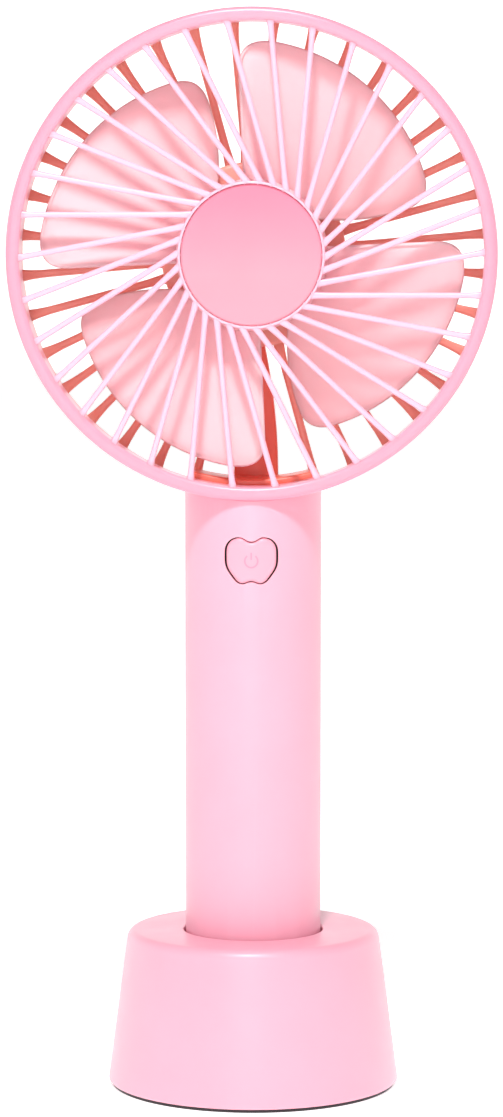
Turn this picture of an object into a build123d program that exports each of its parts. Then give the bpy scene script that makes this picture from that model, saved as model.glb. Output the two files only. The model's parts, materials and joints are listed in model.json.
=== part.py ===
from build123d import *
import os
from math import cos, radians, sin

# A handheld electric fan that stands in its own round base.
# The origin is at the centre of the underside of the base, on the handle's axis.
# +Z is up and the fan blows towards -Y. All lengths are in millimetres.

# ---- Driving dimensions ----

# Head
head_radius = 49.0
head_z = 169.9
head_front_y = -15.1
head_back_y = 11.6
shroud_wall = 1.2
ring_inner_radius = 46.3
ring_face_depth = 2.6
ring_edge_fillet = 0.9
back_edge_fillet = 0.5

# Front grille
front_rib_count = 34
front_rib_width = 1.1
front_rib_offset = 8.0
front_rib_start = 11.6
front_rib_end = 47.0
front_rib_front_y = -14.7
front_rib_depth = 1.8
grille_hub_radius = 14.6
grille_hub_depth = 2.1
cap_radius = 14.1
cap_thickness = 1.0
cap_dish = 0.45
cap_stud_radius = 3.0
cap_clearance = 0.05

# Bayonet between the front grille and the shroud
seam_y = -9.0
joint_gap = 0.3
tongue_back_y = -6.4
tongue_thickness = 1.1
lug_count = 4
lug_first_angle = 45.0
lug_angle = 8.0
lug_height = 0.6
lug_width = 1.4
twist_angle = 15.0
groove_end_play = 0.6
groove_depth_play = 0.35

# Rear grille, motor seat and wire duct
rear_rib_count = 36
rear_rib_width = 1.6
rear_rib_front_y = 8.6
rear_rib_depth = 2.2
rear_rib_start = 18.4
rear_rib_end = 48.0
rear_rib_first_angle = -94.8
seat_radius = 18.8
seat_wall = 1.4
seat_front_y = 2.0
nose_radius = 13.4
nose_front_y = -6.2
duct_front_y = 5.2
duct_wall = 1.2
duct_top_left_x = -3.1
duct_top_right_x = 2.1
duct_bottom_left_x = -4.2
duct_bottom_right_x = 4.9
duct_hollow_radius = 31.5
duct_hollow_depth = 0.7
saddle_radius = 45.2
saddle_angle = 33.0
saddle_front_y = -6.0
cover_thickness = 1.4
cover_slot_count = 8
cover_slot_circle = 9.5
cover_slot_length = 6.0
cover_slot_width = 1.6

# Impeller
blade_count = 4
blade_thickness = 1.3
blade_mid_y = -5.2
blade_corner_radius = 6.0
blade_root_pitch = 20.0
blade_tip_pitch = 6.0
slab_start = 8.0
slab_end = 46.0
slab_width = 66.0
# Corners of a blade seen from the front, as (radius, angle)
blade_trailing_root = (14.0, 97.0)
blade_trailing_tip = (43.0, 94.0)
blade_tip_middle = (41.0, 57.0)
blade_leading_tip = (37.5, 17.0)
blade_leading_middle = (27.0, 16.5)
blade_leading_root = (14.0, 31.0)
impeller_hub_radius = 15.2
impeller_hub_wall = 1.0
impeller_front_y = -11.0
impeller_back_y = 0.4
impeller_face = 1.4
impeller_edge_fillet = 1.2
impeller_boss_radius = 2.6
shaft_cover = 0.6

# Motor
motor_radius = 12.2
motor_front_y = -5.0
motor_back_y = 7.0
shaft_radius = 1.0
bush_clearance = 0.03
bush_radius = 2.4
motor_boss_radius = 3.0
motor_screw_x = 8.0
can_wall = 1.0
front_bush_back_y = -3.6
rear_bush_front_y = 5.6
bell_front_y = 5.4
rear_boss_y = 8.0
magnet_inner_radius = 8.3
magnet_front_y = -3.8
magnet_back_y = 4.4
magnet_angle = 150.0
core_half_length = 2.5
pole_count = 3
pole_width = 1.6
core_hub_radius = 2.4
shoe_inner_radius = 6.2
shoe_outer_radius = 7.6
shoe_angle = 96.0
coil_circle = 4.2
coil_depth = 2.5
coil_width = 4.4
coil_overhang = 0.8
commutator_radius = 2.5
commutator_back_y = 5.2
terminal_x = 6.0
terminal_width = 2.0
terminal_thickness = 0.5
terminal_back_y = 9.4

# Handle
handle_radius = 13.85
handle_wall = 1.6
handle_bottom_z = 10.0
end_cap_thickness = 1.6
end_cap_fillet = 0.8
cap_skirt_height = 3.4
cap_skirt_wall = 1.0
seam_lip_height = 0.8
seam_lip_thickness = 0.7
lip_play = 0.08
screw_x = 7.0
lower_screw_z = 84.0
upper_screw_z = 118.2
boss_radius = 2.1
boss_end_y = 9.7
screw_pilot_radius = 0.95
screw_pilot_depth = 6.5
screw_head_radius = 1.9
screw_head_height = 1.3
screw_shank_radius = 0.93
counterbore_floor_y = 8.0
bore_rib_heights = (24.0, 46.0, 70.0)
bore_rib_thickness = 1.2
spigot_half_thickness = 1.5
spigot_half_width = 10.6
spigot_bottom_z = 115.7
spigot_top_z = 122.8

# Power button
button_z = 108.8
button_width = 10.4
button_height = 9.2
# Circles that the button's outline is drawn round, as (x either side, z, radius)
button_circles = ((2.6, 2.0, 2.6), (1.5, 0.0, 3.7), (1.75, -2.75, 1.85))
button_dip_radius = 2.2
button_top_dip = 0.95
button_bottom_dip = 0.55
button_gap = 0.35
button_travel = 0.5
button_proud = 0.15
button_back_y = -10.5
flange_margin = 0.8
flange_wall = 1.1
button_stem_radius = 1.6
switch_size = 6.0
switch_height = 3.5
plunger_radius = 1.7
plunger_proud = 1.0

# Electronics
board_width = 19.0
board_bottom_z = 87.5
board_top_z = 114.8
board_front_y = 2.0
board_thickness = 1.6
board_screw_z = 91.0
usb_z = 99.0
usb_width = 7.6
usb_height = 2.8
led_z = 105.0
light_pipe_radius = 1.15
chip_x = 5.6
chip_z = 108.0
opening_depth = 4.0
lead_radius = 0.6
lead_y = 8.6

# Battery
cell_radius = 9.2
cell_bottom_z = 14.6
cell_length = 65.2
cell_button_radius = 3.2
cell_button_height = 0.8
tab_thickness = 0.2
tab_width = 5.0

# Base
base_bottom_radius = 29.8
base_top_radius = 25.65
base_height = 31.9
base_wall = 2.2
base_edge_fillet = 2.0
foot_pad_height = 0.7
foot_pad_radius = 29.2
base_plate_thickness = 2.0
base_plate_clearance = 0.35
socket_radius = 14.25
socket_wall = 1.8
socket_floor = 2.0
socket_mouth_chamfer = 0.4
base_screw_circle = 21.5
base_screw_count = 3
base_boss_radius = 3.0
base_pilot_radius = 1.25
base_pilot_depth = 10.0
base_screw_radius = 1.2
base_screw_length = 9.0
base_screw_head_radius = 2.35
base_screw_head_depth = 1.15
web_end_radius = 25.0
web_thickness = 1.6

# ---- Values worked out from them ----

handle_bore = handle_radius - handle_wall
shroud_bore = head_radius - shroud_wall
tongue_radius = shroud_bore - joint_gap
board_back_y = board_front_y + board_thickness
cell_top_z = cell_bottom_z + cell_length
shell_bottom_z = handle_bottom_z + end_cap_thickness
foot_plane_z = foot_pad_height
plate_top_z = foot_plane_z + base_plate_thickness
socket_floor_z = handle_bottom_z - socket_floor
socket_outer = socket_radius + socket_wall
socket_top_z = base_height - base_wall
head_axis = Axis((0, 0, head_z), (0, 1, 0))

os.makedirs("parts", exist_ok=True)


def head_plane(y):
    """A plane across the head's axis, facing the front, with its x to the right."""
    return Plane(origin=(0, y, head_z), x_dir=(1, 0, 0), z_dir=(0, -1, 0))


def handle_plane(y, z):
    """A plane across the handle, facing the front, centred at height z."""
    return Plane(origin=(0, y, z), x_dir=(1, 0, 0), z_dir=(0, -1, 0))


# Half sections of round head parts are drawn here as (depth y, radius).
head_section = Plane(origin=(0, 0, head_z), x_dir=(0, 1, 0), z_dir=(1, 0, 0))


def sector(inner_radius, outer_radius, start, sweep_angle):
    """A face between two radii, from a start angle through a sweep, in degrees."""
    with BuildSketch(Plane.XY) as face:
        with BuildLine():
            inner = CenterArc((0, 0), inner_radius, start, sweep_angle)
            outer = CenterArc((0, 0), outer_radius, start, sweep_angle)
            Line(inner @ 0, outer @ 0)
            Line(inner @ 1, outer @ 1)
        make_face()
    return face.sketch


def polar(radius, angle):
    """A point given by its radius and its angle in degrees."""
    return (radius * cos(radians(angle)), radius * sin(radians(angle)))


# ---- Base ----

with BuildPart() as base_shell:
    with BuildSketch(Plane.XZ):
        Polygon(
            (0, foot_plane_z),
            (base_bottom_radius, foot_plane_z),
            (base_top_radius, base_height),
            (0, base_height),
            align=None,
        )
    revolve(axis=Axis.Z)
    fillet(base_shell.edges().sort_by(Axis.Z)[-1], base_edge_fillet)
    with BuildSketch(Plane.XZ):
        Polygon(
            (0, foot_plane_z),
            (base_bottom_radius - base_wall, foot_plane_z),
            (base_top_radius - base_wall, socket_top_z),
            (0, socket_top_z),
            align=None,
        )
    revolve(axis=Axis.Z, mode=Mode.SUBTRACT)
    # The hole that the handle goes through, with an eased mouth
    with BuildSketch(Plane.XY.offset(socket_top_z)):
        Circle(socket_radius)
    extrude(amount=base_wall, mode=Mode.SUBTRACT)
    mouth = base_shell.edges().filter_by(GeomType.CIRCLE).group_by(Axis.Z)[-1]
    chamfer(mouth.sort_by(SortBy.RADIUS)[0], socket_mouth_chamfer)
    # Bosses for the plate's screws, and webs that brace the socket
    with BuildSketch(Plane.XY.offset(plate_top_z)):
        with PolarLocations(base_screw_circle, base_screw_count, start_angle=90):
            Circle(base_boss_radius)
    extrude(amount=socket_top_z - plate_top_z)
    with BuildSketch(Plane.XY.offset(socket_floor_z)):
        with PolarLocations(web_end_radius / 2, base_screw_count, start_angle=30):
            Rectangle(web_end_radius, web_thickness)
        Circle(socket_outer, mode=Mode.SUBTRACT)
    extrude(amount=socket_top_z - socket_floor_z)
    with BuildSketch(Plane.XY.offset(plate_top_z)):
        with PolarLocations(base_screw_circle, base_screw_count, start_angle=90):
            Circle(base_pilot_radius)
    extrude(amount=base_pilot_depth, mode=Mode.SUBTRACT)
base_shell.part.label = "base_shell"
export_step(base_shell.part, "parts/base_shell.step")

with BuildPart() as base_socket:
    # The cup that the handle stands in, bonded under the top of the base
    with BuildSketch(Plane.XY.offset(socket_floor_z)):
        Circle(socket_outer)
    extrude(amount=socket_top_z - socket_floor_z)
    with BuildSketch(Plane.XY.offset(handle_bottom_z)):
        Circle(socket_radius)
    extrude(amount=socket_top_z - handle_bottom_z, mode=Mode.SUBTRACT)
base_socket.part.label = "base_socket"
export_step(base_socket.part, "parts/base_socket.step")

with BuildPart() as base_plate:
    with BuildSketch(Plane.XY.offset(foot_plane_z)):
        Circle(base_bottom_radius - base_wall - base_plate_clearance)
    extrude(amount=base_plate_thickness)
    with Locations(Plane.XY.offset(foot_plane_z)):
        with PolarLocations(base_screw_circle, base_screw_count, start_angle=90):
            with Locations(Rotation(180, 0, 0)):
                CounterSinkHole(
                    base_screw_radius + 0.1,
                    base_screw_head_radius + 0.05,
                    depth=base_plate_thickness,
                    counter_sink_angle=90,
                )
base_plate.part.label = "base_plate"
export_step(base_plate.part, "parts/base_plate.step")

with BuildPart() as base_foot_pad:
    with BuildSketch(Plane.XY):
        Circle(foot_pad_radius)
    extrude(amount=foot_pad_height)
    fillet(base_foot_pad.edges().group_by(Axis.Z)[0], 0.3)
base_foot_pad.part.label = "base_foot_pad"
export_step(base_foot_pad.part, "parts/base_foot_pad.step")

for index in range(base_screw_count):
    angle = 90 + index * 360 / base_screw_count
    centre_x, centre_y = polar(base_screw_circle, angle)
    with BuildPart() as base_screw:
        with Locations((centre_x, centre_y, foot_plane_z)):
            Cone(
                base_screw_head_radius,
                base_screw_radius,
                base_screw_head_depth,
                align=(Align.CENTER, Align.CENTER, Align.MIN),
            )
            Cylinder(
                base_screw_radius,
                base_screw_length,
                align=(Align.CENTER, Align.CENTER, Align.MIN),
            )
        with Locations((centre_x, centre_y, foot_plane_z + 0.3)):
            Box(2.4, 0.5, 0.6, mode=Mode.SUBTRACT)
            Box(0.5, 2.4, 0.6, mode=Mode.SUBTRACT)
    base_screw.part.label = f"base_screw_{index + 1}"
    export_step(base_screw.part, f"parts/base_screw_{index + 1}.step")

# ---- Front grille ----

hub_back_y = front_rib_front_y + grille_hub_depth
cap_seat_y = front_rib_front_y + cap_thickness + 0.3

with BuildPart() as front_grille:
    # Face ring, skirt and the tongue that slides into the shroud
    skirt_back_y = seam_y - joint_gap
    tongue_inner = tongue_radius - tongue_thickness
    with BuildSketch(head_section):
        Polygon(
            (head_front_y, ring_inner_radius),
            (head_front_y, head_radius),
            (skirt_back_y, head_radius),
            (skirt_back_y, tongue_radius),
            (tongue_back_y, tongue_radius),
            (tongue_back_y, tongue_inner),
            (head_front_y + ring_face_depth, tongue_inner),
            (head_front_y + ring_face_depth, ring_inner_radius),
            align=None,
        )
    revolve(axis=head_axis)
    face_edges = front_grille.edges().filter_by(GeomType.CIRCLE).group_by(Axis.Y)[0]
    fillet(face_edges, ring_edge_fillet)
    # Straight ribs that pass beside the centre, and the hub that they run into
    with BuildSketch(head_plane(front_rib_front_y + front_rib_depth)):
        with PolarLocations(0, front_rib_count):
            with Locations((-(front_rib_start + front_rib_end) / 2, front_rib_offset)):
                Rectangle(front_rib_end - front_rib_start, front_rib_width)
    extrude(amount=front_rib_depth)
    with BuildSketch(head_plane(hub_back_y)):
        Circle(grille_hub_radius)
    extrude(amount=grille_hub_depth)
    with BuildSketch(head_plane(cap_seat_y)):
        Circle(cap_radius + cap_clearance)
    extrude(amount=grille_hub_depth, mode=Mode.SUBTRACT)
    with BuildSketch(head_plane(hub_back_y)):
        Circle(cap_stud_radius + cap_clearance)
    extrude(amount=grille_hub_depth, mode=Mode.SUBTRACT)
    # Bayonet lugs on the tongue
    lug_mid_y = (seam_y + tongue_back_y) / 2
    with BuildSketch(head_plane(lug_mid_y + lug_width / 2)):
        for index in range(lug_count):
            start = lug_first_angle + index * 360 / lug_count - lug_angle / 2
            add(sector(tongue_radius - 0.4, tongue_radius + lug_height, start, lug_angle))
    extrude(amount=lug_width)
front_grille.part.label = "front_grille"
export_step(front_grille.part, "parts/front_grille.step")

with BuildPart() as centre_cap:
    # A shallow dished disc with a stud behind it
    rim_y = cap_seat_y - cap_thickness
    with BuildSketch(head_section):
        with BuildLine():
            Polyline(
                (rim_y + cap_dish, 0),
                (hub_back_y, 0),
                (hub_back_y, cap_stud_radius),
                (cap_seat_y, cap_stud_radius),
                (cap_seat_y, cap_radius),
                (rim_y, cap_radius),
            )
            TangentArc((rim_y + cap_dish, 0), (rim_y, cap_radius), tangent=(0, 1))
        make_face()
    revolve(axis=head_axis)
centre_cap.part.label = "centre_cap"
export_step(centre_cap.part, "parts/centre_cap.step")

# ---- Rear housing: shroud, rear ribs, motor seat, wire duct and spigot ----

seat_bore = seat_radius - seat_wall
seat_floor_y = seat_front_y + seat_wall

with BuildPart() as rear_housing:
    with BuildSketch(head_section):
        Polygon(
            (seam_y, shroud_bore),
            (seam_y, head_radius),
            (head_back_y, head_radius),
            (head_back_y, shroud_bore),
            align=None,
        )
    revolve(axis=head_axis)
    back_edges = rear_housing.edges().filter_by(GeomType.CIRCLE).group_by(Axis.Y)[-1]
    fillet(back_edges, back_edge_fillet)
    # Rear ribs; the two lowest places are left for the wire duct
    with BuildSketch(head_plane(rear_rib_front_y + rear_rib_depth)):
        for index in range(2, rear_rib_count):
            angle = rear_rib_first_angle + index * 360 / rear_rib_count
            with Locations(polar((rear_rib_start + rear_rib_end) / 2, angle)):
                SlotCenterToCenter(rear_rib_end - rear_rib_start, rear_rib_width, rotation=angle)
    extrude(amount=rear_rib_depth)
    # Motor seat: a wide cup at the back and a narrow nose that holds the motor
    with BuildSketch(head_section):
        Polygon(
            (nose_front_y, motor_boss_radius + 0.1),
            (nose_front_y, nose_radius),
            (seat_front_y, nose_radius),
            (seat_front_y, seat_radius),
            (head_back_y, seat_radius),
            (head_back_y, seat_bore),
            (seat_floor_y, seat_bore),
            (seat_floor_y, motor_radius),
            (motor_front_y, motor_radius),
            (motor_front_y, motor_boss_radius + 0.1),
            align=None,
        )
    revolve(axis=head_axis)
    # Wire duct from the seat down to the rim, hollow from end to end
    with BuildSketch(head_plane(head_back_y)):
        with BuildLine():
            duct_top_z = 0.6 - seat_radius
            duct_bottom_z = 0.8 - head_radius
            Polyline(
                (duct_top_right_x, duct_top_z),
                (duct_top_left_x, duct_top_z),
                (duct_bottom_left_x, duct_bottom_z),
                (duct_bottom_right_x, duct_bottom_z),
            )
            ThreePointArc(
                (duct_bottom_right_x, duct_bottom_z),
                (duct_bottom_right_x - duct_hollow_depth, -duct_hollow_radius),
                (duct_top_right_x, duct_top_z),
            )
        make_face()
    extrude(amount=head_back_y - duct_front_y)
    # Saddle inside the rim, above the handle
    with BuildSketch(head_plane(duct_front_y)):
        add(sector(saddle_radius, shroud_bore + 0.4, -90 - saddle_angle / 2, saddle_angle))
    extrude(amount=duct_front_y - saddle_front_y)
    # Spigot that the two handle shells clamp, with its screw ears
    with BuildSketch(handle_plane(spigot_half_thickness, 0)):
        with Locations((0, (spigot_bottom_z + spigot_top_z) / 2)):
            Rectangle(2 * spigot_half_width, spigot_top_z - spigot_bottom_z)
    extrude(amount=2 * spigot_half_thickness)
    with BuildSketch(handle_plane(spigot_half_thickness, upper_screw_z)):
        with Locations((-screw_x, 0), (screw_x, 0)):
            Circle(screw_shank_radius + 0.2)
    extrude(amount=2 * spigot_half_thickness, mode=Mode.SUBTRACT)
    with BuildSketch(head_plane(head_back_y - duct_wall)):
        Polygon(
            (duct_top_left_x + duct_wall, 1.0 - seat_bore),
            (duct_top_right_x - duct_wall, 1.0 - seat_bore),
            (duct_bottom_right_x - duct_wall, -head_radius - 3.0),
            (duct_bottom_left_x + duct_wall, -head_radius - 3.0),
            align=None,
        )
    extrude(amount=head_back_y - duct_front_y - 2 * duct_wall, mode=Mode.SUBTRACT)
    # Holes for the two motor screws
    with BuildSketch(head_plane(motor_front_y)):
        with Locations((-motor_screw_x, 0), (motor_screw_x, 0)):
            Circle(1.05)
    extrude(amount=3, mode=Mode.SUBTRACT)
    # Bayonet grooves: an entry from the front edge, then a run to the locked place
    groove_radius = tongue_radius + lug_height + groove_depth_play
    mouth_angle = lug_angle + 2 * groove_end_play
    with BuildSketch(head_plane(lug_mid_y + lug_width / 2 + joint_gap)):
        for index in range(lug_count):
            start = lug_first_angle + index * 360 / lug_count - mouth_angle / 2
            add(sector(tongue_radius, groove_radius, start, mouth_angle + twist_angle))
    extrude(amount=lug_width + 2 * joint_gap, mode=Mode.SUBTRACT)
    with BuildSketch(head_plane(lug_mid_y)):
        for index in range(lug_count):
            start = lug_first_angle + index * 360 / lug_count + twist_angle - mouth_angle / 2
            add(sector(tongue_radius, groove_radius, start, mouth_angle))
    extrude(amount=lug_mid_y - seam_y, mode=Mode.SUBTRACT)
rear_housing.part.label = "rear_housing"
export_step(rear_housing.part, "parts/rear_housing.step")

with BuildPart() as motor_cover:
    with BuildSketch(head_plane(head_back_y)):
        Circle(seat_bore - cap_clearance)
    extrude(amount=cover_thickness)
    fillet(motor_cover.edges().group_by(Axis.Y)[-1], back_edge_fillet)
    # Cooling slots
    with BuildSketch(head_plane(head_back_y)):
        with PolarLocations(cover_slot_circle, cover_slot_count):
            SlotOverall(cover_slot_length, cover_slot_width)
    extrude(amount=cover_thickness, mode=Mode.SUBTRACT)
motor_cover.part.label = "motor_cover"
export_step(motor_cover.part, "parts/motor_cover.step")

# ---- Impeller ----

# A twisted slab, steep at the hub and shallow at the tip, that the blade is cut from
with BuildPart() as blade_slab:
    slab_angle = blade_tip_middle[1]
    outward = Vector(cos(radians(slab_angle)), 0, sin(radians(slab_angle)))
    along = Vector(-sin(radians(slab_angle)), 0, cos(radians(slab_angle)))
    for distance, pitch in ((slab_start, blade_root_pitch), (slab_end, blade_tip_pitch)):
        middle = Vector(0, blade_mid_y, head_z) + outward * distance
        with BuildSketch(Plane(origin=middle, x_dir=along, z_dir=outward)):
            Rectangle(slab_width, blade_thickness, rotation=pitch)
    loft(ruled=True)

with BuildPart() as blade:
    # The blade's outline seen from the front, for a blade that leans over to the right
    with BuildSketch(head_plane(impeller_back_y + 1)) as blade_outline:
        with BuildLine():
            trailing = Line(polar(*blade_trailing_root), polar(*blade_trailing_tip))
            tip = ThreePointArc(
                trailing @ 1, polar(*blade_tip_middle), polar(*blade_leading_tip)
            )
            leading = ThreePointArc(
                tip @ 1, polar(*blade_leading_middle), polar(*blade_leading_root)
            )
            Line(leading @ 1, trailing @ 0)
        make_face()
        outer_corners = blade_outline.vertices().sort_by_distance((0, 0))[-2:]
        fillet(outer_corners, blade_corner_radius)
    extrude(amount=impeller_back_y - impeller_front_y + 4)
    add(blade_slab.part, mode=Mode.INTERSECT)

with BuildPart() as impeller:
    hub_inner_radius = impeller_hub_radius - impeller_hub_wall
    impeller_face_y = impeller_front_y + impeller_face
    shaft_boss_y = nose_front_y - 0.4
    with BuildSketch(head_section):
        Polygon(
            (impeller_front_y, 0),
            (impeller_front_y, impeller_hub_radius),
            (impeller_back_y, impeller_hub_radius),
            (impeller_back_y, hub_inner_radius),
            (impeller_face_y, hub_inner_radius),
            (impeller_face_y, impeller_boss_radius),
            (shaft_boss_y, impeller_boss_radius),
            (shaft_boss_y, shaft_radius),
            (impeller_front_y + shaft_cover, shaft_radius),
            (impeller_front_y + shaft_cover, 0),
            align=None,
        )
    revolve(axis=head_axis)
    front_edges = impeller.edges().filter_by(GeomType.CIRCLE).group_by(Axis.Y)[0]
    fillet(front_edges, impeller_edge_fillet)
    for index in range(blade_count):
        add(blade.part.rotate(head_axis, index * 360 / blade_count))
    # The blades' roots stop at the inside of the hub
    with BuildSketch(head_plane(impeller_back_y + 2)):
        Circle(hub_inner_radius)
    extrude(amount=impeller_back_y + 2 - impeller_face_y, mode=Mode.SUBTRACT)
    with BuildSketch(head_section):
        Polygon(
            (impeller_face_y, shaft_radius),
            (impeller_face_y, impeller_boss_radius),
            (shaft_boss_y, impeller_boss_radius),
            (shaft_boss_y, shaft_radius),
            align=None,
        )
    revolve(axis=head_axis)
impeller.part.label = "impeller"
export_step(impeller.part, "parts/impeller.step")

# ---- Motor ----

bush_bore = shaft_radius + bush_clearance
can_bore = motor_radius - can_wall

with BuildPart() as motor_can:
    with BuildSketch(head_section):
        Polygon(
            (nose_front_y, bush_radius),
            (nose_front_y, motor_boss_radius),
            (motor_front_y, motor_boss_radius),
            (motor_front_y, motor_radius),
            (motor_back_y, motor_radius),
            (motor_back_y, can_bore),
            (motor_front_y + can_wall, can_bore),
            (motor_front_y + can_wall, bush_radius),
            align=None,
        )
    revolve(axis=head_axis)
    with BuildSketch(head_plane(motor_front_y + can_wall)):
        with Locations((-motor_screw_x, 0), (motor_screw_x, 0)):
            Circle(screw_pilot_radius)
    extrude(amount=can_wall, mode=Mode.SUBTRACT)
motor_can.part.label = "motor_can"
export_step(motor_can.part, "parts/motor_can.step")

with BuildPart() as motor_end_bell:
    with BuildSketch(head_section):
        Polygon(
            (bell_front_y, bush_radius),
            (bell_front_y, can_bore),
            (motor_back_y, can_bore),
            (motor_back_y, motor_boss_radius + 0.4),
            (rear_boss_y, motor_boss_radius + 0.4),
            (rear_boss_y, bush_radius),
            align=None,
        )
    revolve(axis=head_axis)
    # Slots for the brush springs and the terminals
    with BuildSketch(head_plane(motor_back_y)):
        with Locations((-terminal_x, 0), (terminal_x, 0)):
            Rectangle(terminal_thickness, terminal_width)
    extrude(amount=motor_back_y - bell_front_y, mode=Mode.SUBTRACT)
motor_end_bell.part.label = "motor_end_bell"
export_step(motor_end_bell.part, "parts/motor_end_bell.step")

for name, start_y, end_y in (
    ("motor_front_bush", nose_front_y, front_bush_back_y),
    ("motor_rear_bush", rear_bush_front_y, rear_boss_y),
):
    with BuildPart() as bush:
        with BuildSketch(head_plane(end_y)):
            Circle(bush_radius)
            Circle(bush_bore, mode=Mode.SUBTRACT)
        extrude(amount=end_y - start_y)
    bush.part.label = name
    export_step(bush.part, f"parts/{name}.step")

with BuildPart() as motor_magnets:
    # Two half rings with a gap between them, held in the can by a spring fit
    for middle in (0, 180):
        with BuildSketch(head_plane(magnet_back_y)):
            add(sector(magnet_inner_radius, can_bore, middle - magnet_angle / 2, magnet_angle))
        extrude(amount=magnet_back_y - magnet_front_y)
motor_magnets.part.label = "motor_magnets"
export_step(motor_magnets.part, "parts/motor_magnets.step")

with BuildPart() as motor_shaft:
    with BuildSketch(head_plane(rear_boss_y - 0.2)):
        Circle(shaft_radius)
    extrude(amount=rear_boss_y - 0.2 - impeller_front_y - shaft_cover)
motor_shaft.part.label = "motor_shaft"
export_step(motor_shaft.part, "parts/motor_shaft.step")

with BuildPart() as armature_core:
    # Three poles with curved shoes
    with BuildSketch(head_plane(core_half_length)):
        Circle(core_hub_radius)
        with PolarLocations(shoe_outer_radius / 2, pole_count, start_angle=90):
            Rectangle(shoe_outer_radius - 2 * shaft_radius, pole_width)
        for index in range(pole_count):
            start = 90 + index * 360 / pole_count - shoe_angle / 2
            add(sector(shoe_inner_radius, shoe_outer_radius, start, shoe_angle))
        Circle(shaft_radius, mode=Mode.SUBTRACT)
    extrude(amount=2 * core_half_length)
armature_core.part.label = "armature_core"
export_step(armature_core.part, "parts/armature_core.step")

with BuildPart() as armature_windings:
    # One coil round each pole
    with BuildSketch(head_plane(core_half_length + coil_overhang)):
        with PolarLocations(coil_circle, pole_count, start_angle=90):
            Rectangle(coil_depth, coil_width)
    extrude(amount=2 * (core_half_length + coil_overhang))
    with BuildSketch(head_plane(core_half_length)):
        with PolarLocations(coil_circle, pole_count, start_angle=90):
            Rectangle(coil_depth, pole_width)
    extrude(amount=2 * core_half_length, mode=Mode.SUBTRACT)
armature_windings.part.label = "armature_windings"
export_step(armature_windings.part, "parts/armature_windings.step")

with BuildPart() as commutator:
    with BuildSketch(head_plane(commutator_back_y)):
        Circle(commutator_radius)
        Circle(shaft_radius, mode=Mode.SUBTRACT)
    extrude(amount=commutator_back_y - core_half_length)
    with BuildSketch(head_plane(commutator_back_y)):
        with PolarLocations(commutator_radius, pole_count, start_angle=30):
            Rectangle(1.0, 0.3)
    extrude(amount=1.8, mode=Mode.SUBTRACT)
commutator.part.label = "commutator"
export_step(commutator.part, "parts/commutator.step")

for name, side in (("motor_terminal_red", 1), ("motor_terminal_black", -1)):
    # A flat tab through the end bell that carries its brush spring inside
    with BuildPart() as terminal:
        with BuildSketch(head_plane(terminal_back_y)):
            with Locations((side * terminal_x, 0)):
                Rectangle(terminal_thickness, terminal_width)
        extrude(amount=terminal_back_y - bell_front_y)
        spring_start_x = commutator_radius + 0.25
        spring_end_x = terminal_x + terminal_thickness / 2
        with BuildSketch(head_plane(bell_front_y)):
            with Locations((side * (spring_start_x + spring_end_x) / 2, 0)):
                Rectangle(spring_end_x - spring_start_x, terminal_width)
        extrude(amount=0.4)
        with BuildSketch(head_plane(bell_front_y)):
            with Locations((side * spring_start_x, 0)):
                Rectangle(0.4, terminal_width)
        extrude(amount=1.8)
    terminal.part.label = name
    export_step(terminal.part, f"parts/{name}.step")

for index, side in enumerate((-1, 1)):
    with BuildPart() as motor_screw:
        web_thickness = motor_front_y - nose_front_y
        with BuildSketch(head_plane(nose_front_y)):
            with Locations((side * motor_screw_x, 0)):
                Circle(1.8)
        extrude(amount=0.3)
        with BuildSketch(head_plane(motor_front_y + can_wall)):
            with Locations((side * motor_screw_x, 0)):
                Circle(0.9)
        extrude(amount=web_thickness + can_wall)
    motor_screw.part.label = f"motor_screw_{index + 1}"
    export_step(motor_screw.part, f"parts/motor_screw_{index + 1}.step")

# ---- Handle shells ----

# The shells are drawn up past the curve that the head then cuts off them
shell_blank_height = head_z - head_radius + 4.0 - shell_bottom_z
lip_bottom_z = shell_bottom_z + 5.0
lip_height = spigot_bottom_z - 1.0 - lip_bottom_z
bore_rib_radius = cell_radius + 0.15
bore_rib_gap = 3.6


def half_ring(outer_radius, inner_radius, side):
    """Half of a ring, on the front (side -1) or on the back (side 1) of the axis."""
    with BuildSketch(Plane.XY) as face:
        Circle(outer_radius)
        Circle(inner_radius, mode=Mode.SUBTRACT)
        with Locations((0, -side * outer_radius / 2)):
            Rectangle(2 * outer_radius, outer_radius, mode=Mode.SUBTRACT)
    return face.sketch


def seam_lip(outer_radius, height):
    """The two narrow strips of the tongue that runs along the handle's seams."""
    with BuildSketch(Plane.XY) as face:
        Circle(outer_radius)
        Circle(handle_bore, mode=Mode.SUBTRACT)
        with Locations((0, height / 2)):
            Rectangle(2 * outer_radius, height, mode=Mode.INTERSECT)
    return face.sketch


def bore_rib(side):
    """The outline of a rib that holds the cell, stopping short of the seam."""
    with BuildSketch(Plane.XY) as face:
        add(half_ring(handle_bore + 0.3, bore_rib_radius, side))
        Rectangle(2 * handle_radius, bore_rib_gap, mode=Mode.SUBTRACT)
    return face.sketch


def button_outline(grow):
    """A cushion, narrower below, with a dip at its top and bottom, grown all round."""
    top_dip_z = button_height / 2 - button_top_dip + button_dip_radius
    bottom_dip_z = button_height / 2 - button_bottom_dip + button_dip_radius
    with BuildSketch(Plane.XY) as face:
        for x, z, radius in button_circles:
            with Locations((-x, z), (x, z)):
                Circle(radius + grow)
        make_hull()
        with Locations((0, top_dip_z), (0, -bottom_dip_z)):
            Circle(button_dip_radius - grow, mode=Mode.SUBTRACT)
    return face.sketch


with BuildPart() as head_clearance:
    # The round space that the head takes out of the top of the handle
    with BuildSketch(head_plane(handle_radius + 1)):
        Circle(head_radius + joint_gap)
    extrude(amount=2 * (handle_radius + 1))

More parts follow.
